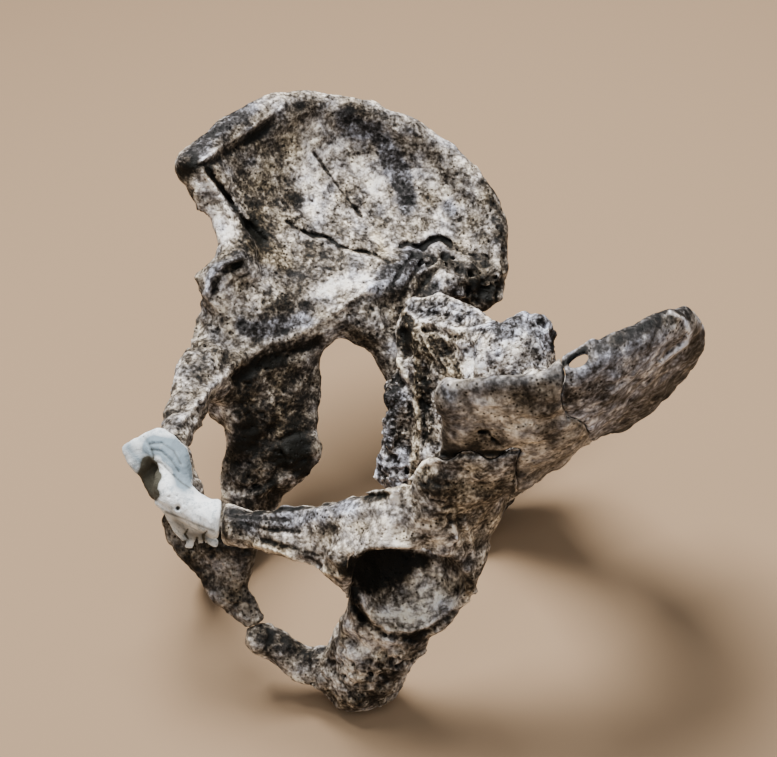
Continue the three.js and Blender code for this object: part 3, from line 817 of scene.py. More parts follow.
def grain_group():
    tree, given, out = new_group("bone grain", dict(Height=FLOAT, Roughness=FLOAT), Pores=0.5, Dark=0.0)
    where = given["Where"]
    fine = noise_node(tree, where, 1.1, 4, 0.65)
    dents = noise_node(tree, where, 4.5, 3)
    holes = spots_node(tree, where, **PORE_SPREAD)
    height = fine * GRAIN_HEIGHT + dents * DENT_HEIGHT - holes * given["Pores"]
    fill(tree, out["Height"], height - given["Dark"] * DARK_SINK)
    fill(tree, out["Roughness"], fine * GRAIN_ROUGHNESS + ROUGHNESS - given["Dark"] * DARK_SHEEN)
    return tree


stain_nodes, grain_nodes = stain_group(), grain_group()

# %% Materials of bone
BONE_SHINE = 0.15
RELIEF_STRENGTH = 0.8


def new_finish(name):
    """A material, its nodes, its shader, and the numbers that each point of a piece keeps."""
    finish = bpy.data.materials.new(name)
    finish.use_nodes = True
    tree = finish.node_tree
    kept = {}
    for title in ("Stain", "Warmth", "Crevice", "Edge"):
        reader = add_node(tree, "ShaderNodeAttribute", attribute_name=title.lower())
        kept[title] = Number(tree, reader.outputs["Fac"])
    return finish, tree, tree.nodes["Principled BSDF"], kept


def add_relief(tree, shader, height, relief_mm):
    bump = add_node(tree, "ShaderNodeBump", Strength=RELIEF_STRENGTH, Distance=relief_mm * MM,
                    Height=height)
    fill(tree, shader.inputs["Normal"], bump.outputs["Normal"])


def fossil_bone(name, contrast=5.4, pore_depth=0.7, relief_mm=0.8, along=1.0):
    """Stained fossil bone. With along below 1 the stains are drawn out as a long blade grew."""
    finish, tree, shader, kept = new_finish(name)
    on_object = tree.nodes.new("ShaderNodeTexCoord").outputs["Object"]
    where = add_node(tree, "ShaderNodeMapping", Scale=(1, along, 1), Vector=on_object).outputs["Vector"]
    stain = add_node(tree, "ShaderNodeGroup", node_tree=stain_nodes, Where=where, Contrast=contrast, **kept)
    grain = add_node(tree, "ShaderNodeGroup", node_tree=grain_nodes, Where=where, Pores=pore_depth,
                     Dark=stain.outputs["Dark"])
    add_relief(tree, shader, grain.outputs["Height"], relief_mm)
    fill(tree, shader.inputs["Base Color"], stain.outputs["Color"])
    fill(tree, shader.inputs["Roughness"], grain.outputs["Roughness"])
    shader.inputs["Specular IOR Level"].default_value = BONE_SHINE
    return finish


bone_finish = fossil_bone("mottled_bone")
spongy_finish = fossil_bone("spongy_bone", contrast=7.2, pore_depth=1.0, relief_mm=1.0)
olive_finish = fossil_bone("olive_bone", contrast=3.6, pore_depth=0.2, relief_mm=0.5, along=0.7)
dark_finish = fossil_bone("dark_bone", contrast=4.2, pore_depth=0.5, relief_mm=0.7)
crest_finish = fossil_bone("dark_crest_bone", contrast=4.6, pore_depth=0.5, relief_mm=0.8, along=0.65)

# %% [markdown]
# Plaster is nearly one colour: pale, a little blue, with faint grey clouds, a few small air holes,
# and dust where it meets the bone. It is darker in its hollows, and painted shade darkens the web
# under the strap, the seam between strap and sleeve and the air hole. The side turned from the
# light is painted a colder grey.

# %% The finish of plaster
PLASTER_COLOURS = [(0.36, (0.42, 0.49, 0.54)), (0.49, (0.92, 0.97, 1.00)), (0.62, (0.96, 0.99, 1.00))]
# The colder grey painted where the plaster is turned from the light.
SHADED_PLASTER_GREY = (0.19, 0.25, 0.30, 1)
GREY_DOT = (0.34, 0.37, 0.40, 1)
# Dark olive, for dust and for the painted shade on the web, the seam and the air hole.
DUST_AND_SHADE = (0.045, 0.042, 0.028, 1)
DOT_SHARE, CREVICE_DARKENING = 0.45, 0.55
PLASTER_RELIEF_MM, PLASTER_ROUGHNESS = 0.6, 0.85


def plaster():
    finish, tree, shader, kept = new_finish("plaster")
    where = tree.nodes.new("ShaderNodeTexCoord").outputs["Object"]
    pale = ramp(tree, noise_node(tree, where, 4, 6, 0.75), PLASTER_COLOURS)
    pale = mix_colours(tree, (kept["Warmth"] * -1.0).clamped(), pale, SHADED_PLASTER_GREY)
    pale = mix_colours(tree, dots(tree, where) * DOT_SHARE, pale, GREY_DOT)
    dust_and_shade_share = ((kept["Stain"] * -1.0).clamped() + kept["Crevice"] * CREVICE_DARKENING).clamped()
    fill(tree, shader.inputs["Base Color"], mix_colours(tree, dust_and_shade_share, pale, DUST_AND_SHADE))
    add_relief(tree, shader, noise_node(tree, where, 1.6, 5, 0.65), PLASTER_RELIEF_MM)
    shader.inputs["Roughness"].default_value = PLASTER_ROUGHNESS
    return finish


plaster_finish = plaster()

# %% [markdown]
# ## The sockets
# A hip socket is a deep cup with a notch in its lower rim. Its wall is a ball, kept on one
# side of the rim, and its hollow is a row of balls from its centre out through its mouth. The
# floor of the real cup has a second, rough hollow, where the ligament was fixed.

# %% Socket
SOCKET_RADIUS = 24.0
SOCKET_WALL = 3.6
RIM_PAST_CENTRE = 2.0
MOUTH_REACH = 1.4 * SOCKET_RADIUS
ROUGH_FLOOR_PLACE, ROUGH_FLOOR_RADIUS = -0.33 * SOCKET_RADIUS, 0.77 * SOCKET_RADIUS


def socket(centre, axis, notch, worn_rim=()):
    """The balls of a socket, and the plane of its rim. notch and worn_rim are rods cut out of it."""
    middle = place([*centre, 0])[:3]
    axis = np.array(axis)

    def ball(along, radius):
        return [*(middle + axis * along), radius]

    hollow = [ball(along, SOCKET_RADIUS) for along in np.arange(0, MOUTH_REACH, BALL_STEP)]
    hollow.append(ball(ROUGH_FLOOR_PLACE, ROUGH_FLOOR_RADIUS))
    return dict(
        wall=np.array([ball(0, SOCKET_RADIUS + SOCKET_WALL)]),
        hollow=np.concatenate([hollow] + [rod(line) for line in (notch, *worn_rim)]),
        rim=middle + axis * RIM_PAST_CENTRE,
        axis=axis,
    )


# %% [markdown]
# ## The right hip bone
# This is the best kept piece: a fan-shaped blade with a thick rolled crest, the hip socket on
# its far side, the ischium below and the pubic branch that reaches forward. A blade is
# a plate of six rows, from the brim up to the crest. Rods thicken its borders.

# %% Right hip bone, the form
RIGHT_HIP = dict(
    blade=[
        [[222, 354, -86, 12], [246, 348, -88, 13], [278, 335, -91, 12], [312, 321, -93, 10],
         [345, 304, -94, 9], [374, 289, -96, 8.5], [398, 288, -98, 8], [412, 300, -99, 7.5],
         [424, 318, -98, 7]],
        [[229, 312, -80, 9], [256, 306, -84, 10], [288, 297, -90, 8.5], [322, 287, -94, 7],
         [352, 277, -98, 6.5], [378, 270, -101, 6.5], [400, 273, -103, 7], [416, 288, -104, 7],
         [430, 305, -102, 7]],
        [[232, 258, -77, 5.5], [260, 254, -88, 4.8], [290, 250, -97, 4.2], [322, 247, -103, 3.8],
         [354, 246, -108, 3.8], [384, 248, -111, 4.2], [410, 255, -113, 5.5], [428, 270, -110, 6.5],
         [438, 290, -106, 7]],
        [[228, 226, -83, 5], [256, 210, -97, 3.8], [288, 200, -108, 3.5], [322, 195, -116, 3.4],
         [356, 197, -121, 3.4], [390, 205, -124, 3.5], [420, 220, -124, 4], [448, 248, -120, 5.5],
         [458, 278, -113, 6.5]],
        [[216, 195, -86, 5], [244, 170, -98, 4], [280, 152, -109, 3.8], [316, 145, -117, 3.6],
         [356, 148, -124, 3.6], [398, 162, -127, 3.6], [436, 189, -128, 4], [466, 226, -126, 5],
         [474, 272, -117, 6.5]],
        [[199, 167, -82, 8], [221, 136, -90, 6.3], [253, 117, -99, 6.5], [292, 104, -109, 6.2],
         [342, 108, -116, 6], [395, 123.5, -120, 6], [446, 154.5, -122, 6], [489, 210, -123, 6.6],
         [495, 266, -117, 7.2]],
    ],
    notch_roof=[[292, 330, -94, 9], [322, 318, -96, 9], [345, 316, -98, 9], [362, 326, -99, 8.5]],
    back_limb=[[360, 306, -96, 10], [378, 329, -98, 8.8], [393, 361, -102, 7.2], [405, 394, -105, 5]],
    joint_face=[[390, 284, -100, 9], [397, 305, -102, 8], [402, 330, -105, 6.5]],
    tuberosity=[[440, 275, -112, 9], [470, 283, -114, 9], [488, 286, -115, 7.5], [480, 299, -113, 7]],
    quadrilateral=[
        [[236, 385, -86, 8], [258, 372, -88, 9], [284, 358, -92, 8], [312, 346, -97, 4.8]],
        [[237, 418, -87, 7.4], [260, 408, -90, 8], [286, 402, -95, 6.5], [311, 395, -98, 4]],
        [[241, 446, -94, 7], [262, 448, -97, 8], [286, 446, -98, 7], [307, 440, -97, 4.5]],
        [[240, 474, -100, 7], [258, 476, -104, 8.5], [278, 474, -105, 8.5], [298, 464, -102, 5.5]],
    ],
    spine=[[284, 464, -101, 8], [296, 462, -99, 7], [304, 450, -97, 5.3]],
    ischium=[[258, 460, -103, 12], [252, 488, -105, 12.5], [243, 518, -106, 13], [225, 547, -102, 13]],
    superior_ramus=[
        [224, 366, -84, 13], [197, 381, -62, 10.5], [187, 413, -44, 7.4],
        [175, 438, -27, 6.3], [181, 466, -15, 5.5], [186, 494, -10, 6],
    ],
    inferior_ramus=[[187, 498, -14, 6], [188, 522, -34, 6], [198, 544, -62, 6.5], [212, 556, -90, 9]],
    front_spine_low=[[235, 264, -76, 6], [219, 277, -71, 6], [213, 292, -72, 5.8], [219, 310, -79, 5.6]],
    front_spine_high=[[197, 167, -81, 8.5], [204, 182, -83, 7.5]],
    front_border=[[205, 186, -84, 6], [223, 212, -84, 5.3], [238, 240, -80, 5.5], [239, 262, -76, 6.5]],
    socket=dict(
        centre=[220, 363, -100],
        axis=[-0.93, -0.08, -0.36],
        notch=[[202, 410, -102, 5], [208, 396, -102, 6]],
    ),
)
RIGHT_HIP_CELL = FINE * 1.03  # a little coarser, to keep the largest bone under 200,000 triangles


def right_hip_clay():
    bone = dict(RIGHT_HIP)
    plates = [bone.pop("blade"), bone.pop("quadrilateral")]
    joint = socket(**bone.pop("socket"))
    return modelled(bone.values(), plates, joint, RIGHT_HIP_CELL)


# %% [markdown]
# The strokes below are read off the bone as a restorer would draw them: the bright brim that
# runs from the sacrum to the pubis, the groove beside the front border, the long crack across
# the blade, and the crushed, spongy part behind.

# %% Right hip bone, the surface
BRIM = [(372, 287), (350, 300), (330, 315), (290, 337), (262, 346), (240, 360), (215, 385), (190, 411),
        (166, 432)]
FRONT_GROOVE = [(208, 171), (217, 183), (227, 196), (236, 209), (243, 219), (249, 228)]
GROOVE_END = [(249, 227), (257, 236), (263, 241)]
FRONT_LIP = [(204, 170), (213, 186), (222, 200), (230, 216), (236, 232)]
CREST_LIP = [(198, 163), (210, 154), (224, 144), (238, 136), (251, 128), (266, 117), (282, 108)]
CREST_FURROW = [(206, 166), (222, 156), (240, 146), (258, 134), (272, 122)]
LONG_CRACK = [(286, 221), (296, 228), (306, 233), (316, 236), (326, 237), (338, 245), (352, 250), (366, 252)]
LOW_CRACK = [(366, 252), (378, 256), (388, 262), (398, 260)]
THIN_CRACK = [(314, 153), (322, 164), (332, 178), (342, 192), (352, 205), (362, 217)]
BACK_CRACK = [(423, 247), (431, 240), (440, 237), (450, 243)]
BACK_CRACK_START = [(400, 247), (408, 243), (417, 247)]
EDGE_CRACK = [(450, 245), (462, 252), (476, 254), (488, 262)]
FOLDED_LAYERS = [[(400, 300), (410, 280), (422, 260)], [(392, 288), (402, 268), (414, 254)],
                 [(412, 300), (424, 284), (438, 268)]]
CRUSHED = [(448, 262), (458, 268), (470, 276), (474, 292)]
CRUSHED_LOBES = [(388, 272), (402, 262), (420, 256), (436, 262)]
SPINE_LOW = [(207, 294), (207, 282), (214, 270), (226, 262), (240, 257)]
SPINE_SHADOW = [(214, 292), (217, 280), (226, 271), (240, 264)]
NUTRIENT_HOLES = [(336, 281), (354, 291), (362, 297)]
PLATE_RIM = [(262, 437), (270, 444), (284, 438), (300, 432), (312, 432)]
FOOT_LINE = [(240, 492), (256, 487), (270, 480), (283, 470)]
LUMPY_FRONT = [(204, 288), (198, 318), (190, 350), (180, 385)]
# Below the brim: a groove, and a stain that paints the brim's shadow on the bone beneath it.
UNDER_BRIM = [(236, 378), (262, 364), (292, 353), (316, 342)]
WORN_FRONT_SPINE = [(183, 190), (189, 204)]
CRUSHED_LUMPS = [(388, 300), (420, 285), (450, 290), (480, 290)]
FRONT_LUMPS = [(204, 288), (196, 340), (172, 420)]
ISCHIAL_LUMPS = [(236, 420), (262, 470), (300, 460)]
CRUSHED_CORNER = [(444, 268), (470, 288), (486, 290)]
BACK_EDGE = [(486, 200), (498, 236), (496, 280)]
PITS_UNDER_BRIM = [(236, 372), (262, 362), (290, 352)]
BACK_FIELD = [(460, 222), (480, 240), (494, 262)]


def right_hip_surface(clay):
    holes = [groove([hole], 4, 2.0) for hole in NUTRIENT_HOLES]
    return sculpt(
        clay, ridge(BRIM, 7, 1.5), ridge(FRONT_LIP, 5, 1.2), crack(FRONT_GROOVE, 3.0, 2.2),
        groove(GROOVE_END, 7, 3.2), shaved(WORN_FRONT_SPINE, 10, 2.2), ridge(CREST_LIP, 3.6, 0.9),
        groove(CREST_FURROW, 7, 1.4), groove(UNDER_BRIM, 9, 1.6), crack(LONG_CRACK, 2.4, 2.0),
        crack(THIN_CRACK, 2.0, 1.4), crack(BACK_CRACK, 4.6, 3.6), crack(LOW_CRACK, 2.4, 1.8),
        crumbled(EDGE_CRACK, 12, 3.6, 3.4, 38), ridge(SPINE_LOW, 5, 1.6),
        crack(BACK_CRACK_START, 2.6, 2.2), *[crack(line, 2.4, 1.6) for line in FOLDED_LAYERS],
        groove(SPINE_SHADOW[:2], 6, 2.0), groove(SPINE_SHADOW[2:], 5, 1.8),
        lumpy(CRUSHED_LUMPS, 44, 9, 3.2, 41), lumpy(FRONT_LUMPS, 26, 6, 1.4, 43),
        lumpy(ISCHIAL_LUMPS, 50, 8, 2.4, 45), crumbled(CRUSHED_LOBES, 24, 5.2, 3.0, 31),
        crumbled(LUMPY_FRONT, 20, 4.5, 1.2, 34), crumbled(CRUSHED_CORNER, 26, 3.6, 2.9, 32),
        crumbled(BACK_EDGE, 14, 3.4, 3.2, 33), crumbled(CRUSHED, 12, 6.0, 5.0, 35),
        crumbled(PITS_UNDER_BRIM, 15, 3.0, 1.8, 37), crumbled(BACK_FIELD, 22, 3.6, 2.4, 36),
        groove(PLATE_RIM, 5, 1.2), groove(FOOT_LINE, 6, 1.6), *holes, worn(26, 1.2, 11),
        worn(8, 1.9, 13), pitted(3.4, 1.7, 0.3, 17),
    )


RIGHT_STAINS_AND_SHADE = [
    (BRIM, 6, 0.9), ([(316, 292), (340, 284), (366, 284)], 15, 2.6), ([(362, 170), (376, 188)], 18, 1.9),
    ([(300, 176), (316, 196), (326, 214)], 20, 1.2), ([(344, 212), (358, 226)], 12, 1.4),
    (FRONT_LIP, 8, 1.7), ([(212, 212), (226, 240)], 9, 2.2), (CREST_LIP, 3, 1.2),
    ([(222, 300), (250, 310)], 20, 1.1), ([(420, 170), (450, 200), (470, 240)], 14, 0.8),
    ([(430, 236), (446, 230)], 8, 1.4), ([(376, 236), (384, 250)], 7, 1.8),
    ([(488, 228), (498, 250)], 5, 1.3), ([(186, 158), (214, 134), (250, 108)], 14, -1.5),
    ([(184, 172), (196, 164), (206, 170)], 11, -2.6), (FRONT_GROOVE, 4, -3.4), (GROOVE_END, 13, -3.4),
    (CREST_FURROW, 6, -1.4), (LONG_CRACK, 2.0, -3.0), (BACK_CRACK, 4, -3.6),
    (BACK_CRACK_START, 2.4, -3.0), *[(line, 2.2, -1.6) for line in FOLDED_LAYERS],
    ([(476, 268), (490, 284), (480, 306)], 16, -1.0), ([(462, 224), (482, 240)], 18, -0.7),
    ([(256, 248), (272, 256), (284, 262)], 9, 0.6), (THIN_CRACK, 1.8, -2.2), ([(296, 200)], 9, -1.8),
    ([(352, 281), (366, 286)], 7, -1.6), (LOW_CRACK, 2, -2.6), (EDGE_CRACK, 7, -1.5),
    ([(450, 207)], 9, -1.3), ([(345, 118), (372, 128), (392, 150), (404, 180), (408, 206)], 13, -1.2),
    ([(350, 108), (400, 120), (440, 150)], 8, -0.6),
    ([(486, 186), (501, 226), (504, 262), (492, 300)], 10, -1.9), (CRUSHED, 14, -2.0),
    (CRUSHED_LOBES, 18, -0.9), ([(396, 290), (440, 300), (476, 290)], 30, -1.2),
    ([(238, 264), (246, 244), (262, 256)], 11, -1.6), (SPINE_SHADOW, 5, -1.6),
    ([(244, 330), (276, 312), (300, 306)], 13, -0.9), (UNDER_BRIM, 8, -2.6),
    ([(236, 395), (246, 415), (244, 450)], 16, -1.6), ([(285, 455), (302, 448), (304, 466)], 17, -3.4),
    ([(262, 366), (276, 400), (270, 440)], 50, -1.9), ([(300, 352), (310, 420)], 16, -0.9),
    ([(262, 372), (283, 420)], 5, 1.2), ([(222, 420), (232, 470)], 7, -1.0),
    ([(176, 425), (186, 460)], 14, -1.4), ([(196, 392), (178, 420)], 9, -0.7),
    ([(240, 470), (266, 484), (256, 500)], 30, -1.8), ([(278, 200), (246, 180), (262, 150)], 40, -1.0),
    ([(230, 150), (300, 110), (350, 108)], 14, -0.8), ([(254, 214), (262, 232)], 12, -0.8),
    ([(300, 105), (250, 120)], 10, -0.4), ([(240, 494), (268, 480)], 4, 1.6),
    ([(206, 350), (196, 380)], 18, -0.7), ([(252, 322), (300, 292), (322, 262)], 34, -0.9),
    ([(346, 330), (372, 344), (388, 380)], 14, -1.5),
]
RIGHT_WARMTH = [
    ([(290, 150), (262, 190), (268, 226)], 30, 0.8), ([(200, 150), (214, 134), (250, 108)], 12, -1.8),
    ([(345, 118), (385, 140), (404, 180), (408, 206)], 14, -2.2), ([(376, 236), (384, 252)], 8, 2.2),
    ([(256, 246), (270, 256), (284, 264)], 12, 2.4), ([(300, 320), (262, 334), (244, 330)], 14, -2.0),
    ([(260, 380), (285, 440)], 40, 0.7), (SPINE_LOW, 6, -1.0), ([(450, 207)], 10, -2),
    ([(380, 286), (400, 272), (414, 256)], 16, -2.2), ([(440, 290), (460, 296)], 14, -1),
    ([(302, 448)], 16, -0.8),
]

right_hip = right_hip_clay()
print(f"right hip bone modelled, {time.time() - started:.0f} s")

# %% [markdown]
# ## The left hip bone
# One clay holds the whole bone, with the socket turned to the eye. Two open fractures
# then part it in three pieces that fit each other: the body with the socket and the ischium,
# the lower blade, and the dark crest. A fracture is a fan of planes through the eye, which
# wanders a little, so in the picture it is a ragged line.

# %% Left hip bone, the form
LEFT_HIP = dict(
    blade=[
        [[452, 399, 121, 7.5], [495, 393, 129, 6], [545, 384, 131, 6], [597, 358, 128, 6.6],
         [646, 336, 119, 6.4], [682, 322, 100, 6.2], [689, 342, 66, 6.5], [677, 364, 25, 6.5],
         [645, 392, -16, 8]],
        [[455, 425, 108, 5], [492, 420, 116, 4], [538, 418, 118, 4], [585, 402, 117, 4],
         [630, 375, 108, 4], [660, 356, 92, 4.2], [666, 369, 62, 4.2], [653, 387, 28, 4.5],
         [622, 410, -17, 8]],
        [[456, 448, 96, 6], [488, 446, 100, 5], [528, 446, 100, 4.5], [570, 433, 97, 4.5],
         [612, 407, 88, 4.2], [641, 385, 74, 4.2], [645, 395, 50, 4.2], [631, 410, 22, 4.5],
         [592, 422, -17, 7]],
        [[450, 472, 84, 9], [478, 478, 80, 8.5], [510, 478, 72, 7.5], [541, 461, 62, 6.6],
         [568, 441.5, 52, 6.1], [583, 428, 38, 5.8], [585, 430, 22, 5.6], [576, 433, 5, 6],
         [563, 438, -15, 6.5]],
    ],
    body=[
        [[440, 486, 80, 10], [464, 490, 68, 12], [489, 488, 52, 10]],
        [[430, 514, 68, 13], [446, 520, 55, 14.5], [461, 524, 42, 12.5]],
    ],
    superior_ramus=[
        [[396, 512, 64, 10], [350, 517, 55, 7.4], [315, 520, 44, 6.4], [275, 523, 32, 5.6],
         [237, 523, 19, 5.5]],
        [[376, 546, 60, 11.5], [328, 547, 45, 8.2], [292, 543, 36, 6.2], [260, 536, 27, 5.2],
         [238, 531, 20, 5]],
    ],
    corner=[[354, 555, 53, 7], [343, 564, 49, 4.3], [336, 571, 46, 3]],
    ischium=[[408, 600, 30, 14], [392, 630, 18, 14.5], [370, 660, 6, 14.5], [358, 676, -4, 12]],
    tuberosity=[[366, 678, -2, 12.7], [351, 687, -8, 8], [343, 677, -10, 7]],
    ischial_ramus=[
        [347, 674, -8, 9.5], [320, 666, -11, 7.6], [300, 661, -12, 6.6],
        [280, 648, -12, 6.6], [261, 637, -11, 6.2],
    ],
    inner_wall=[[374, 585, 36, 7.5], [366, 618, 20, 7.6], [353, 645, 2, 7.6]],
    outer_wall=[[484, 500, 52, 8.4], [473, 530, 47, 7.2], [469, 558, 47, 6]],
    socket=dict(
        centre=[408, 581, 50],
        axis=[0.02, -0.75, 0.66],
        notch=[[342, 614, 56, 6], [358, 607, 52, 6.5]],
        worn_rim=[
            [[436, 560, 78, 8], [452, 563, 76, 6.5]],
            [[386, 568, 67, 10], [372, 568, 62, 10]],
        ],
    ),
)
BODY_FRACTURE = [[[517, 453], [424, 456]], [[511, 508], [517, 453]]]
CREST_FRACTURE = [[[567, 416], [592, 436]], [[563, 340], [567, 416]]]
CRACK_GAP = 0.4
RAMUS_CUT, SLEEVE_CUT = [[[224, 500], [221, 538]]], [[[219, 538], [222, 500]]]
CUT_RAGGED = 0.2
RIM_BACKING = [[464, 570, 44, 5], [458, 588, 41, 5], [447, 603, 36, 5.2], [430, 613, 30, 6]]
RAMUS_END = [[238, 526, 19, 4], [228, 524, 17, 4.3], [216, 522, 15, 4.3]]
RAGGED_TURNS = 0.34
CHIPS = dict(size=5, octaves=2, seed=41)
CHIP_DEPTH = 0.8


def left_hip_clay():
    bone = dict(LEFT_HIP)
    plates = [bone.pop("blade"), bone.pop("body"), bone.pop("superior_ramus")]
    joint = socket(**bone.pop("socket"))
    return modelled([*bone.values(), RIM_BACKING, RAMUS_END], plates, joint)


def fracture(lines, ragged=1.0):
    """Below nought to the left of every line, as seen by the eye when it runs up the picture."""
    normals = []
    for line in lines:
        a, b = (place([*point, 0, 0])[:3] for point in line)
        normals.append(unit(np.cross(a - (0, 0, EYE_DISTANCE), b - (0, 0, EYE_DISTANCE))))

    def side(spots):
        steps = [(spots - (0, 0, EYE_DISTANCE)) @ normal for normal in normals]
        wave = np.sin(RAGGED_TURNS * spots[:, 0]) + np.sin(RAGGED_TURNS * spots[:, 1] + 1)
        chips = CHIP_DEPTH * rough_noise(spots, **CHIPS)
        return np.max(steps, axis=0) + ragged * (wave + chips)

    return side


def broken(clay, lines, way):
    """A copy of what lies to one side of a fracture: to its left where way is 1."""
    side = fracture(lines)
    return clay.copy().keep(lambda spots: way * side(spots) + CRACK_GAP / 2)


# %% Left hip bone, the surface
TOP_RIM = [(350, 560), (364, 549), (382, 545), (400, 546), (418, 549), (434, 553)]
LOWER_RIM = [(362, 594), (366, 610), (375, 622), (390, 630), (408, 631), (426, 626), (446, 613), (464, 594)]
# Below the lower rim of the socket: a groove, and a stain that paints the shadow the rim casts.
UNDER_RIM = [(362, 616), (374, 629), (390, 637), (410, 638), (430, 630), (452, 613)]
BOWL_FOLDS = [[(453, 525), (457, 538), (463, 553)], [(465, 522), (470, 538), (473, 555)]]
# Painted shadow: the next line stains the roof of the socket black, where the light from above does not
# reach, and the line after it paints shade lower in the cup.
SOCKET_PAINTED_SHADOW = [(352, 566), (366, 562), (388, 560), (408, 562), (422, 562)]
SOCKET_SHADE = [(366, 580), (384, 578), (404, 576)]
RAMUS_TOP = [(232, 512), (256, 512), (277, 510), (300, 508), (322, 504), (345, 498), (372, 494)]
RAMUS_CREST = [(318, 503), (340, 497), (364, 493), (392, 490)]
RAMUS_VEINS = [[(240, 522), (268, 530), (300, 532)], [(232, 516), (262, 519), (290, 520)],
               [(262, 539), (290, 547), (322, 556)]]
RAMUS_EDGE = [(256, 545), (280, 553), (306, 564), (326, 573), (340, 576)]
LEDGE = [(392, 498), (404, 484), (414, 472), (424, 463), (440, 459)]
ISCHIAL_NECK = [(352, 640), (372, 650), (400, 646)]
RAMUS_JOINT = [(266, 624), (271, 636), (266, 648)]
NOTCH_SHADOW = [(353, 588), (355, 604), (362, 618)]
PILLAR_LIGHT = [(349, 622), (353, 634), (348, 646)]
BLADE_CRACK = [(480, 431), (488, 431), (492, 438), (500, 444)]
DARK_PATCH = [(520, 392), (534, 400), (548, 412), (554, 426)]
CREST_BAND = [(440, 388), (480, 383), (530, 380), (562, 374)]
BODY_FRACTURE_LINE = [(434, 455), (470, 454), (517, 452), (514, 480), (511, 508)]
CREST_FRACTURE_LINE = [(563, 364), (567, 416), (592, 436)]
BODY_PITS = [(430, 486), (446, 494), (450, 512)]
CREST_NOTCH = [[[571, 365, near, 1.3], [579, 361, near, 2.5], [585, 357, near, 1.6]] for near in (144, 118)]
CREST_SLIVER = [[564, 364, 131, 1.0], [574, 355, 131, 1.4], [584, 349, 130, 1.8], [593, 346, 128, 3]]
NOTCH_BLEND, SLIVER_BLEND = 1.0, 1.5
# The stain along this line paints the shadow in the gap under the sliver.
CREST_SLIVER_LINE = [(565, 364), (574, 356), (585, 348)]
CREST_STREAK = [(670, 312), (684, 320), (690, 332), (686, 344), (672, 354), (660, 364)]
CREST_DENTS = [(572, 404), (590, 420), (606, 424)]
ISCHIUM_END = [(330, 676), (352, 690), (384, 660), (396, 644)]
ISCHIUM_PORES = [(338, 670), (360, 680), (390, 650)]
ISCHIUM_LUMPS = [(336, 684), (370, 690), (400, 655)]
LOWER_BRANCH_LUMPS = [(250, 636), (300, 660)]
UPPER_BRANCH_LUMPS = [(230, 520), (330, 540)]
WORN_BACK_RIM = [(507, 500), (501, 522), (495, 540)]
WORN_LOW_RIM = [(490, 552), (484, 574), (470, 596)]
SOCKET_FLOOR = [(388, 592), (420, 602), (450, 592)]
BLADE_HOLLOW = [(470, 402), (520, 396)]


def left_hip_surface(clay):
    veins = [crack(line, 3.0, 0.7) for line in RAMUS_VEINS]
    folds = [ridge(line, 4.5, 1.3) for line in BOWL_FOLDS]
    return sculpt(
        clay, ridge(TOP_RIM, 3.6, 0.6), ridge(LOWER_RIM, 3.2, 0.5), groove(UNDER_RIM, 5, 1.3), *veins,
        *folds, ridge(RAMUS_CREST, 4, 1.3), ridge(RAMUS_EDGE, 4, 0.9), groove(RAMUS_TOP, 3.2, 1.0),
        ridge(LEDGE, 6, 1.8), groove(ISCHIAL_NECK, 9, 1.2), groove(RAMUS_JOINT, 4, 1.0),
        groove(NOTCH_SHADOW, 6, 2.0), crumbled(ISCHIUM_END, 40, 3.0, 2.0, 51),
        crumbled(ISCHIUM_PORES, 34, 5.5, 2.4, 50), shaved(WORN_BACK_RIM, 8, 1.6),
        shaved(WORN_LOW_RIM, 5, 1.0), crumbled(BODY_PITS, 26, 3.4, 1.8, 53),
        crumbled(SOCKET_FLOOR, 26, 1.9, 0.9, 55), lumpy(ISCHIUM_LUMPS, 40, 6, 2.4, 44),
        lumpy(LOWER_BRANCH_LUMPS, 26, 6, 1.6, 46), lumpy(UPPER_BRANCH_LUMPS, 30, 7, 1.2, 48),
        crack(BLADE_CRACK, 2.4, 2.2), ridge(CREST_STREAK, 4, 1.4),
        crack(BODY_FRACTURE_LINE[:3], 3.0, 1.8), ridge(CREST_BAND, 12, 1.2),
        groove(BLADE_HOLLOW, 16, 1.6), crumbled(CREST_DENTS, 14, 3.6, 1.6, 57), worn(24, 1.2, 21),
        worn(7.5, 1.9, 23), pitted(2.8, 1.2, 0.1, 27),
    )


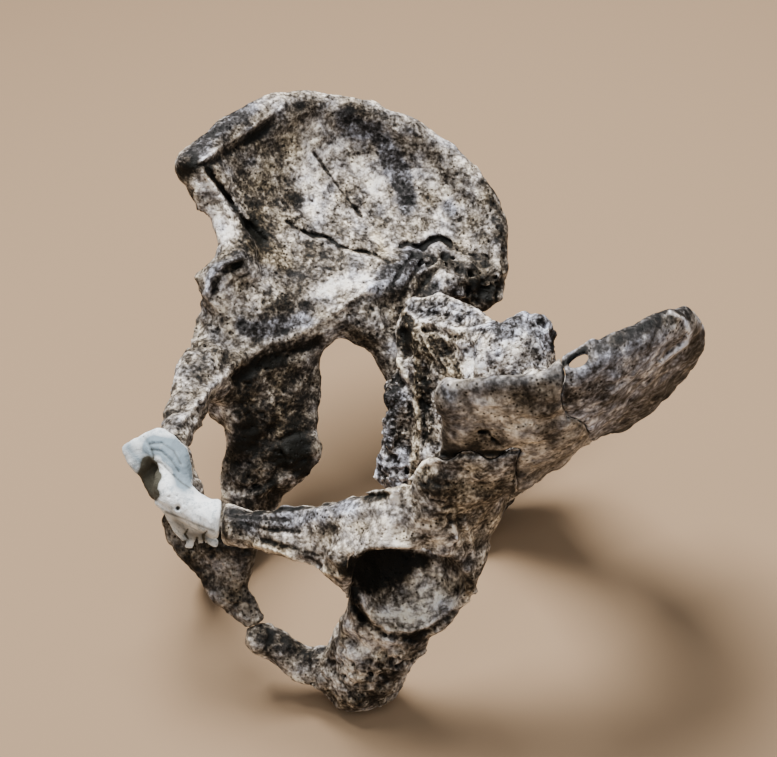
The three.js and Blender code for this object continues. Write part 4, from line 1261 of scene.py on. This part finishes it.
LEFT_STAINS_LIGHT_AND_SHADE = [
    # Painted light: the third stroke makes the lower wall of the socket paler, where it faces the light.
    (TOP_RIM, 3, 1.2), (LOWER_RIM, 4, 1.2), ([(385, 612), (412, 616), (440, 604)], 15, 1.9),
    (SOCKET_PAINTED_SHADOW, 16, -7), (SOCKET_SHADE, 14, -4.5), ([(380, 598), (392, 596)], 12, -1.2),
    ([(440, 562), (458, 566)], 14, -0.8), ([(456, 592), (466, 584)], 10, -1.0), (UNDER_RIM, 4, -1.3),
    (NOTCH_SHADOW, 7, -3), ([(352, 520), (372, 530), (398, 536)], 24, 0.6), (LEDGE, 7, 2.4),
    ([(396, 500), (384, 508)], 9, 2.0), ([(290, 522), (330, 520), (350, 514)], 12, 0.4),
    (RAMUS_TOP, 3.6, -3.0), (RAMUS_CREST, 4, 1.0), ([(232, 514), (238, 530)], 10, -1.8),
    ([(250, 518), (300, 524), (336, 528)], 14, -0.5), (RAMUS_EDGE, 4, 1.2),
    *[(line, 2.6, -2.2) for line in RAMUS_VEINS], ([(262, 541), (290, 549), (318, 561)], 3, -1.6),
    ([(223, 510), (223, 532)], 7, -2.6), ([(322, 532), (336, 528)], 8, -1.0),
    ([(366, 498), (384, 494)], 6, -2.4), (BODY_PITS, 24, -1.7), ([(410, 640), (440, 620)], 20, -1.0),
    ([(450, 480), (490, 500)], 34, -0.9), ([(470, 500), (480, 530)], 14, -0.2),
    ([(471, 552), (475, 572), (464, 592)], 10, -1.0), (BOWL_FOLDS[0], 3, 1.6), (BOWL_FOLDS[1], 3, 1.4),
    ([(458, 548), (470, 545)], 6, -1.0), ([(478, 545), (492, 515), (504, 480)], 9, -0.5),
    ([(470, 470), (486, 486)], 10, 0.3), (BODY_FRACTURE_LINE, 3, -2.0),
    ([(340, 664), (366, 650), (392, 644)], 14, 1.0), ([(350, 690), (372, 668)], 30, -0.8),
    ([(262, 636), (300, 658), (324, 666)], 20, -1.4), ([(345, 704), (372, 700), (396, 672)], 10, -1.4),
    ([(410, 644), (420, 636)], 10, -1.2), (PILLAR_LIGHT, 5, 0.8),
    ([(284, 640), (310, 654), (332, 646)], 5, -1.2), (RAMUS_JOINT, 3, -1.5),
]
LEFT_WARMTH = [
    ([(236, 520), (300, 518), (350, 508)], 18, -1.6), ([(470, 500), (490, 520)], 34, 0.9),
    (RAMUS_EDGE, 8, 1.0), ([(262, 634), (322, 664)], 24, -0.4), ([(430, 486), (450, 512)], 24, 0.5),
    ([(352, 520), (398, 536)], 20, 0.3), ([(440, 565), (460, 574)], 14, 0.3),
]
BLADE_STAINS = [
    (CREST_BAND, 15, -1.1), (DARK_PATCH, 18, -1.1), ([(440, 396), (448, 420), (446, 440)], 12, -0.8),
    ([(470, 410), (500, 404), (512, 430)], 18, 0.8), ([(500, 430), (530, 450)], 18, 0.5),
    ([(520, 446), (560, 440), (600, 424)], 20, 0.4), ([(486, 424), (500, 436)], 12, 0.3),
    ([(440, 448), (458, 452), (476, 448)], 8, -2.2), ([(484, 434), (500, 442)], 10, -0.9),
    (BLADE_CRACK, 2.4, -2.0), ([(504, 470), (520, 480)], 10, -0.3), ([(540, 430), (552, 440)], 9, -0.9),
    ([(470, 424), (500, 432)], 20, -0.4), (CREST_FRACTURE_LINE, 3, -1.6), (BODY_FRACTURE_LINE, 5, -3.0),
]
BLADE_WARMTH = [(CREST_BAND, 14, -0.9), ([(450, 400), (450, 430)], 12, -0.8)]
# Light and shade on the rolled rim: the pale stroke along CREST_STREAK is a painted highlight on a real low
# ridge, and the dark band along the lower border is painted shade.
CREST_STAINS_LIGHT_AND_SHADE = [
    (CREST_STREAK, 3.4, 2.2), ([(702, 340), (680, 382), (644, 418), (612, 430)], 11, -1.3),
    ([(592, 352), (602, 360), (612, 352)], 6, 0.8), (CREST_SLIVER_LINE, 4, -4),
    ([(590, 353), (640, 329), (682, 311)], 13, -1.7), ([(620, 380), (650, 360)], 20, 0.3),
    ([(590, 424), (610, 420)], 12, 1.0), ([(572, 398), (600, 396), (630, 400)], 12, -1.0),
    ([(696, 330), (694, 350)], 4, -0.8), (CREST_FRACTURE_LINE, 3, -1.6),
    ([(640, 412), (680, 378)], 8, -0.8),
]

left_hip = left_hip_surface(left_hip_clay())
left_body = broken(left_hip, BODY_FRACTURE, 1).keep(fracture(RAMUS_CUT, CUT_RAGGED))
left_upper = broken(left_hip, BODY_FRACTURE, -1)
left_ilium = broken(left_upper, CREST_FRACTURE, -1)
left_crest = broken(left_upper, CREST_FRACTURE, 1)
left_crest.cut(plate(CREST_NOTCH), NOTCH_BLEND).add(rod(CREST_SLIVER), SLIVER_BLEND)
print(f"left hip bone modelled, {time.time() - started:.0f} s")

# %% [markdown]
# ## The piece of the left pubis
# A dark, rough lump that hangs below the plaster and reaches back to meet the ischium.

# %% Left pubis
LEFT_PUBIS = [
    [[178, 520, -16, 6.6], [189, 546, -16, 6.6], [208, 570, -14, 6.2], [219, 592, -13, 6.2],
     [236, 603, -12, 5.6], [250, 618, -10, 4.4]],
    [[236, 530, -4, 6.5], [240, 548, -6, 7], [237, 568, -9, 6.2], [234, 588, -11, 5.8],
     [243, 602, -11, 5.2], [254, 619, -10, 4.4]],
]
PUBIS_CELL = FINE * 0.8
PUBIS_PORES = [(200, 540), (240, 610)]


def left_pubis_clay():
    clay = modelled([], [LEFT_PUBIS], cell=PUBIS_CELL)
    sculpt(clay, worn(11, 1.8, 61), worn(4, 1.1, 63), crumbled(PUBIS_PORES, 90, 3.0, 1.3, 65))
    return clay.clear_of([right_hip, left_body])


PUBIS_STAINS = [
    ([(215, 560), (230, 575)], 12, 0.9), ([(205, 590), (228, 606)], 6, 1.2),
    ([(215, 548), (240, 545)], 14, -1.2), ([(190, 560), (205, 585)], 8, -1.0),
    ([(242, 612), (250, 618)], 10, 0.8),
]

# %% [markdown]
# ## The sacrum
# Time has opened the sacrum: its left wing is gone, its front edge shows the spongy inside,
# and the first vertebra stands up as a crumbling block. Pores of several sizes make it.

# %% Sacrum
SACRUM = dict(
    first_body=[
        [[510, 326, -46, 4.8], [525, 323, -48, 5], [539, 327, -50, 5], [552, 335, -52, 4.2]],
        [[498, 343, -45, 7], [516, 341, -46, 8], [533, 341, -49, 8], [544, 346, -52, 5.4]],
        [[492, 362, -46, 8], [512, 362, -48, 9], [530, 362, -51, 9], [541, 363, -54, 6]],
        [[492, 384, -50, 9], [512, 386, -54, 10], [529, 388, -57, 9], [540, 388, -60, 7]],
    ],
    wing=[
        [[496, 337, -52, 5], [472, 318, -66, 5], [440, 307, -79, 5], [414, 308, -88, 4.5]],
        [[494, 352, -48, 7], [465, 345, -64, 7], [435, 335, -78, 7], [410, 330, -88, 6]],
    ],
    front=[
        [[418, 340, -86, 7], [432, 350, -82, 7], [470, 370, -68, 8], [510, 385, -56, 9],
         [545, 392, -32, 9], [566, 396, -10, 8]],
        [[406, 387, -92, 6.4], [424, 400, -89, 7], [465, 410, -76, 8], [500, 415, -68, 8],
         [535, 425, -48, 8], [556, 430, -24, 7]],
        [[395, 430, -97, 7], [416, 445, -95, 7], [452, 455, -86, 7], [485, 462, -80, 7],
         [510, 466, -66, 7], [528, 466, -48, 6.5]],
        [[396, 477, -100, 7.2], [414, 485, -99, 7], [440, 500, -98, 7], [462, 505, -94, 7],
         [480, 500, -84, 6], [492, 495, -74, 5]],
        [[414, 505, -101, 6.6], [432, 520, -100, 6], [448, 530, -98, 6], [462, 534, -94, 6],
         [472, 530, -88, 5.5], [480, 524, -82, 5]],
    ],
    back=[
        [[443, 347, -92, 7], [457, 357, -88, 8], [495, 377, -76, 9], [535, 392, -66, 9],
         [570, 399, -42, 8.5], [585, 404, -22, 7]],
        [[436, 390, -98, 6], [452, 407, -97, 7], [490, 417, -86, 9], [525, 422, -78, 9],
         [556, 428, -56, 8], [570, 430, -34, 6.5]],
        [[424, 437, -104, 6], [444, 452, -103, 7], [476, 462, -96, 8], [504, 466, -90, 7.5],
         [522, 466, -74, 7], [532, 462, -58, 6]],
        [[424, 480, -106, 6], [438, 492, -106, 6.5], [460, 506, -105, 7], [480, 508, -101, 7],
         [492, 499, -92, 6], [498, 492, -82, 5]],
    ],
    back_crest=[[549, 402, -82, 6], [540, 436, -94, 5.5], [514, 478, -105, 5], [488, 508, -109, 5]],
    hollows=[[440, 350, -60, 8], [462, 358, -52, 8]],
)
BLOCK = [(474, 352), (498, 350), (520, 338), (540, 334), (536, 360), (505, 366)]
BLOCK_TOP = [(500, 328), (520, 318), (542, 322), (556, 340)]
ALA_EDGE = [(406, 310), (418, 321), (432, 322), (446, 326), (458, 330), (474, 328), (490, 326)]
# Under the overhanging lip of the wing: a crack, and a stain that paints the shadow beneath the lip.
ALA_UNDER = [(424, 330), (436, 331), (452, 336), (466, 340)]
ALA_LAYERS = [[(424, 306), (446, 305), (470, 314)], [(416, 312), (440, 314), (462, 321)]]
COLUMN = [(394, 392), (388, 420), (390, 450), (388, 486)]
SEAM_STRIP = [(399, 305), (409, 322), (415, 345), (418, 370), (416, 400), (418, 430), (414, 462), (412, 484)]
SEAM_SIDE = [(393, 352), (400, 366), (407, 378), (415, 392)]
FRONT_PORES = [(425, 380), (428, 440)]
BESIDE_SEAM = [[(x + off, y) for x, y in SEAM_STRIP[3:]] for off in (-6, 7)]
FORAMEN = [(404, 334), (400, 344), (406, 354)]
FORAMEN_LOW = [(396, 372), (402, 384)]
STRIATIONS = [
    [(418, 332), (424, 346), (436, 366)], [(424, 330), (432, 348), (446, 372)],
    [(429, 334), (440, 352), (449, 366)], [(437, 332), (444, 347), (458, 372)],
    [(442, 338), (452, 354), (461, 366)], [(450, 338), (457, 350), (466, 370)],
]
HOLLOW_BLEND = 3.0


def sacrum_clay():
    bone = dict(SACRUM)
    hollows = np.array([place(p) for p in bone.pop("hollows")])
    crest = bone.pop("back_crest")
    clay = modelled([crest], bone.values()).cut(hollows, HOLLOW_BLEND)
    sculpt(
        clay, crumbled(BLOCK, 34, 2.6, 2.4, 71), crumbled(BLOCK_TOP, 14, 5.5, 2.2, 70),
        crumbled(COLUMN, 30, 3.2, 4.0, 73), crumbled(COLUMN, 26, 6.0, 2.6, 72),
        lumpy(COLUMN, 46, 8, 7.0, 76), lumpy(BLOCK_TOP, 30, 7, 2.6, 78), ridge(ALA_EDGE, 4, 1.3),
        crack(ALA_UNDER, 3.4, 1.8), groove(FORAMEN, 8, 4.5), groove(FORAMEN_LOW, 6, 3.0),
        *[crack(line, 1.7, 0.9) for line in STRIATIONS],
        *[groove(line, 2.6, 1.2) for line in ALA_LAYERS], ridge(SEAM_STRIP, 3.0, 1.0),
        groove(BESIDE_SEAM[0], 3.6, 2.0), groove(BESIDE_SEAM[1], 4, 1.8), ridge(SEAM_SIDE, 3.0, 1.0),
        crumbled(FRONT_PORES, 14, 3.0, 3.5, 74), worn(20, 1.0, 75), worn(6, 1.5, 77),
        pitted(3.0, 1.3, 0.3, 79),
    )
    return clay.clear_of([right_hip, left_body, left_ilium, left_crest])


# Painted shade: the stain along ALA_UNDER and the broad dark stroke over the striated recess below the wing
# darken what the lip shades.
SACRUM_STAINS_AND_SHADE = [
    (BLOCK, 20, 0.5), (BLOCK_TOP, 12, -1.1), ([(402, 306), (406, 326), (410, 346)], 9, -1.8),
    *[(line, 1.8, -0.9) for line in STRIATIONS], (ALA_EDGE, 3, 1.8), (ALA_UNDER, 3, -2.0),
    ([(440, 352), (470, 360)], 16, -0.3), ([(466, 368), (480, 369)], 8, 3.0),
    ([(424, 310), (450, 312), (476, 320)], 14, -0.6), (COLUMN, 20, -1.3), (SEAM_STRIP, 4, -1.3),
    (FORAMEN, 8, -3.5), (FORAMEN_LOW, 7, -2.5), ([(430, 346), (452, 366)], 22, -1.5),
    ([(556, 332), (553, 350)], 4, -3.0), (FRONT_PORES, 12, -2.6), (SEAM_SIDE, 3, 1.3),
    ([(394, 322), (400, 312)], 7, 1.2), ([(466, 349)], 4, -2.5),
]
SACRUM_WARMTH = [
    (BLOCK, 24, -0.5), (BLOCK_TOP, 14, -2.0), (SEAM_STRIP, 5, 3.0), ([(432, 344), (452, 366)], 20, 1.4),
    (SEAM_SIDE, 4, 1.5), ([(424, 308), (470, 315)], 14, -0.8), (COLUMN, 24, -1.2),
]

# %% [markdown]
# ## The plaster
# A sleeve of plaster stands in for the missing bone at the front. Above it a strap bends
# over to the right pubic branch, with a thumb-like lobe at its end, and drips run down onto
# the dark pubis. A shaded web closes the loop between strap and sleeve.

# %% Plaster
PLASTER = dict(
    sleeve=[
        [[164, 477, 0, 4], [179, 487, 4, 4.3], [197, 503, 9, 4.6], [214, 513, 13, 4.6]],
        [[165, 487, 5, 5], [181, 498, 9, 5.5], [200, 511, 13, 5.5], [214, 518, 16, 5]],
        [[166, 500, 3, 5], [181, 508, 6, 5.5], [198, 517, 10, 5], [212, 526, 14, 4]],
    ],
    strap=[
        [[150, 439, -8, 3.3], [160, 436.5, -7, 3.6], [171, 443, -5, 3.4], [180, 453, -4, 3.4],
         [184, 466, -3, 3.2], [186, 480, -2, 3]],
        [[151, 448, -4, 3.2], [158, 447, -2, 3.4], [167, 453, 0, 3.6], [175, 462, 1, 3.6],
         [180, 472, 2, 3.4], [184, 483, 2, 3.2]],
        [[151, 454, -4, 3], [157, 456, -1, 3], [163, 461, 1, 3.2], [170, 468, 3, 3.2], [177, 477, 3, 3.2],
         [183, 485, 4, 3.2]],
    ],
    lobe=[
        [[129, 450, -8, 3], [138, 446, -7, 3.4], [149, 444, -7, 3.4]],
        [[134, 460, -7, 3], [141, 457, -6, 3.2], [149, 451, -6, 3.4]],
        [[140, 468, -7, 3], [144, 464, -6, 3], [150, 457, -6, 3]],
    ],
    web=[
        [[148, 463, -10, 3], [156, 467, -9, 3], [165, 472, -8, 3]],
        [[147, 475, -10, 3.2], [154, 479, -9, 3.6], [162, 483, -6, 4]],
        [[155, 490, -9, 3.4], [159, 493, -8, 3.8], [165, 497, -4, 4.5]],
    ],
    drape=[
        [[171, 510, -1, 3.6], [184, 517, 1, 3.6], [200, 524, 4, 3.6]],
        [[178, 526, -6, 3.2], [190, 531, -4, 3.2], [204, 535, -2, 3.2]],
        [[186, 538, -9, 2.8], [194, 547, -9, 2.8], [207, 540, -7, 2.8]],
    ],
)
DRIPS = [
    [[193, 542, -8, 2.8], [196, 550, -9, 2.2], [197, 557, -10, 1.5]],
    [[206, 534, 1, 2.6], [211, 540, 3, 2.2], [216, 543, 4, 1.6]],
]
SLEEVE_END = [[216, 512, 14, 5], [216, 522, 15, 5.2], [214, 529, 13, 4.4]]
AIR_HOLE = [(178, 508)]
SMALL_HOLES = [(177, 496), (169, 497), (184, 504), (200, 508)]
STRAP_FOLDS = [
    [(150, 444), (162, 443), (174, 451), (181, 464)], [(152, 450), (161, 451), (171, 460), (179, 472)],
]
DRAPE_CRACKS = [
    [(188, 529), (185, 534), (188, 539), (183, 544)], [(207, 531), (203, 535), (204, 541)],
    [(197, 538), (196, 544), (198, 549)],
]
STRAP_SEAM = [(156, 460), (164, 466), (172, 474), (182, 483), (190, 488)]
LOBE_SEAM = [(144, 437), (150, 447), (154, 458)]
SLEEVE_EDGE = [(166, 512), (182, 518), (198, 525), (214, 531)]
PLASTER_CELL = FINE * 0.6
PLASTER_BLEND = 2.5


def plaster_clay():
    clay = modelled([SLEEVE_END, *DRIPS], PLASTER.values(), cell=PLASTER_CELL, blend=PLASTER_BLEND)
    clay.keep(fracture(SLEEVE_CUT, CUT_RAGGED))
    holes = [groove([hole], 2.0, 1.0) for hole in SMALL_HOLES]
    folds = [groove(line, 1.8, 0.8) for line in STRAP_FOLDS]
    cracks = [crack(line, 1.5, 1.0) for line in DRAPE_CRACKS]
    sculpt(clay, groove(AIR_HOLE, 3.6, 3.0), *holes, *folds, *cracks, crack(STRAP_SEAM, 2.0, 0.8),
           groove(LOBE_SEAM, 2.2, 0.9), worn(9, 0.7, 81), worn(3.0, 0.45, 83))
    return clay.clear_of([right_hip, left_body, left_pubis])


# Dust, and painted shade: the shaded web between strap and sleeve, the air hole and the seams are darkened.
PLASTER_DIRT_AND_SHADE = [
    ([(148, 462), (143, 476), (152, 494)], 9, -3.0), ([(155, 464), (155, 484)], 5, -2.4),
    (AIR_HOLE, 2.6, -1.6), (STRAP_SEAM, 2.0, -0.6), ([(150, 470), (157, 476)], 8, -3.0),
    ([(148, 476), (151, 480)], 7, -3.0), (LOBE_SEAM, 2, -0.3),
    ([(176, 522), (190, 534), (204, 536)], 9, -0.6), *[(line, 1.4, -0.35) for line in DRAPE_CRACKS],
    ([(172, 518), (188, 534), (206, 537)], 13, -0.22), *[(line, 1.4, -0.4) for line in STRAP_FOLDS],
    (SLEEVE_EDGE, 2.0, -0.6),
]
# Painted shade: the strap and the lobe, turned from the light, are painted a colder grey.
PLASTER_PAINTED_SHADE = [
    ([(153, 444), (168, 448), (180, 464), (184, 480)], 18, -2.6), ([(128, 448), (140, 462)], 12, -0.9),
]

# %% [markdown]
# ## Skin and finish
# Each clay becomes a mesh that stands for its CAD node, with its own stains.

# %% All pieces
right_hip_surface(right_hip)
left_pubis = left_pubis_clay()
sacrum = sacrum_clay()
plaster_fill = plaster_clay()
make_piece("right_hip_bone", right_hip, RIGHT_STAINS_AND_SHADE, RIGHT_WARMTH, bone_finish, shade=-0.4)
make_piece("left_hip_body", left_body, LEFT_STAINS_LIGHT_AND_SHADE, LEFT_WARMTH, bone_finish, shade=-0.2, warm=0.2)
make_piece("left_ilium", left_ilium, BLADE_STAINS, BLADE_WARMTH, olive_finish, shade=-0.35, warm=0.15)
make_piece("left_iliac_crest", left_crest, CREST_STAINS_LIGHT_AND_SHADE, [], crest_finish, shade=-0.5, warm=-1.0)
make_piece("left_pubis", left_pubis, PUBIS_STAINS, [], dark_finish, shade=-1.6)
make_piece("sacrum", sacrum, SACRUM_STAINS_AND_SHADE, SACRUM_WARMTH, spongy_finish)
make_piece("plaster_fill", plaster_fill, PLASTER_DIRT_AND_SHADE, PLASTER_PAINTED_SHADE, plaster_finish, all_round=True)

# %% [markdown]
# ## Size
# The points of the fine model are clipped to the frame's box as each piece is made. The fine model
# must fill the same box as the frame. The frame's box is written down.

# %% Write down the frame's box
print("CAD box", [[round(v, 4) for v in c] for c in cad_box])
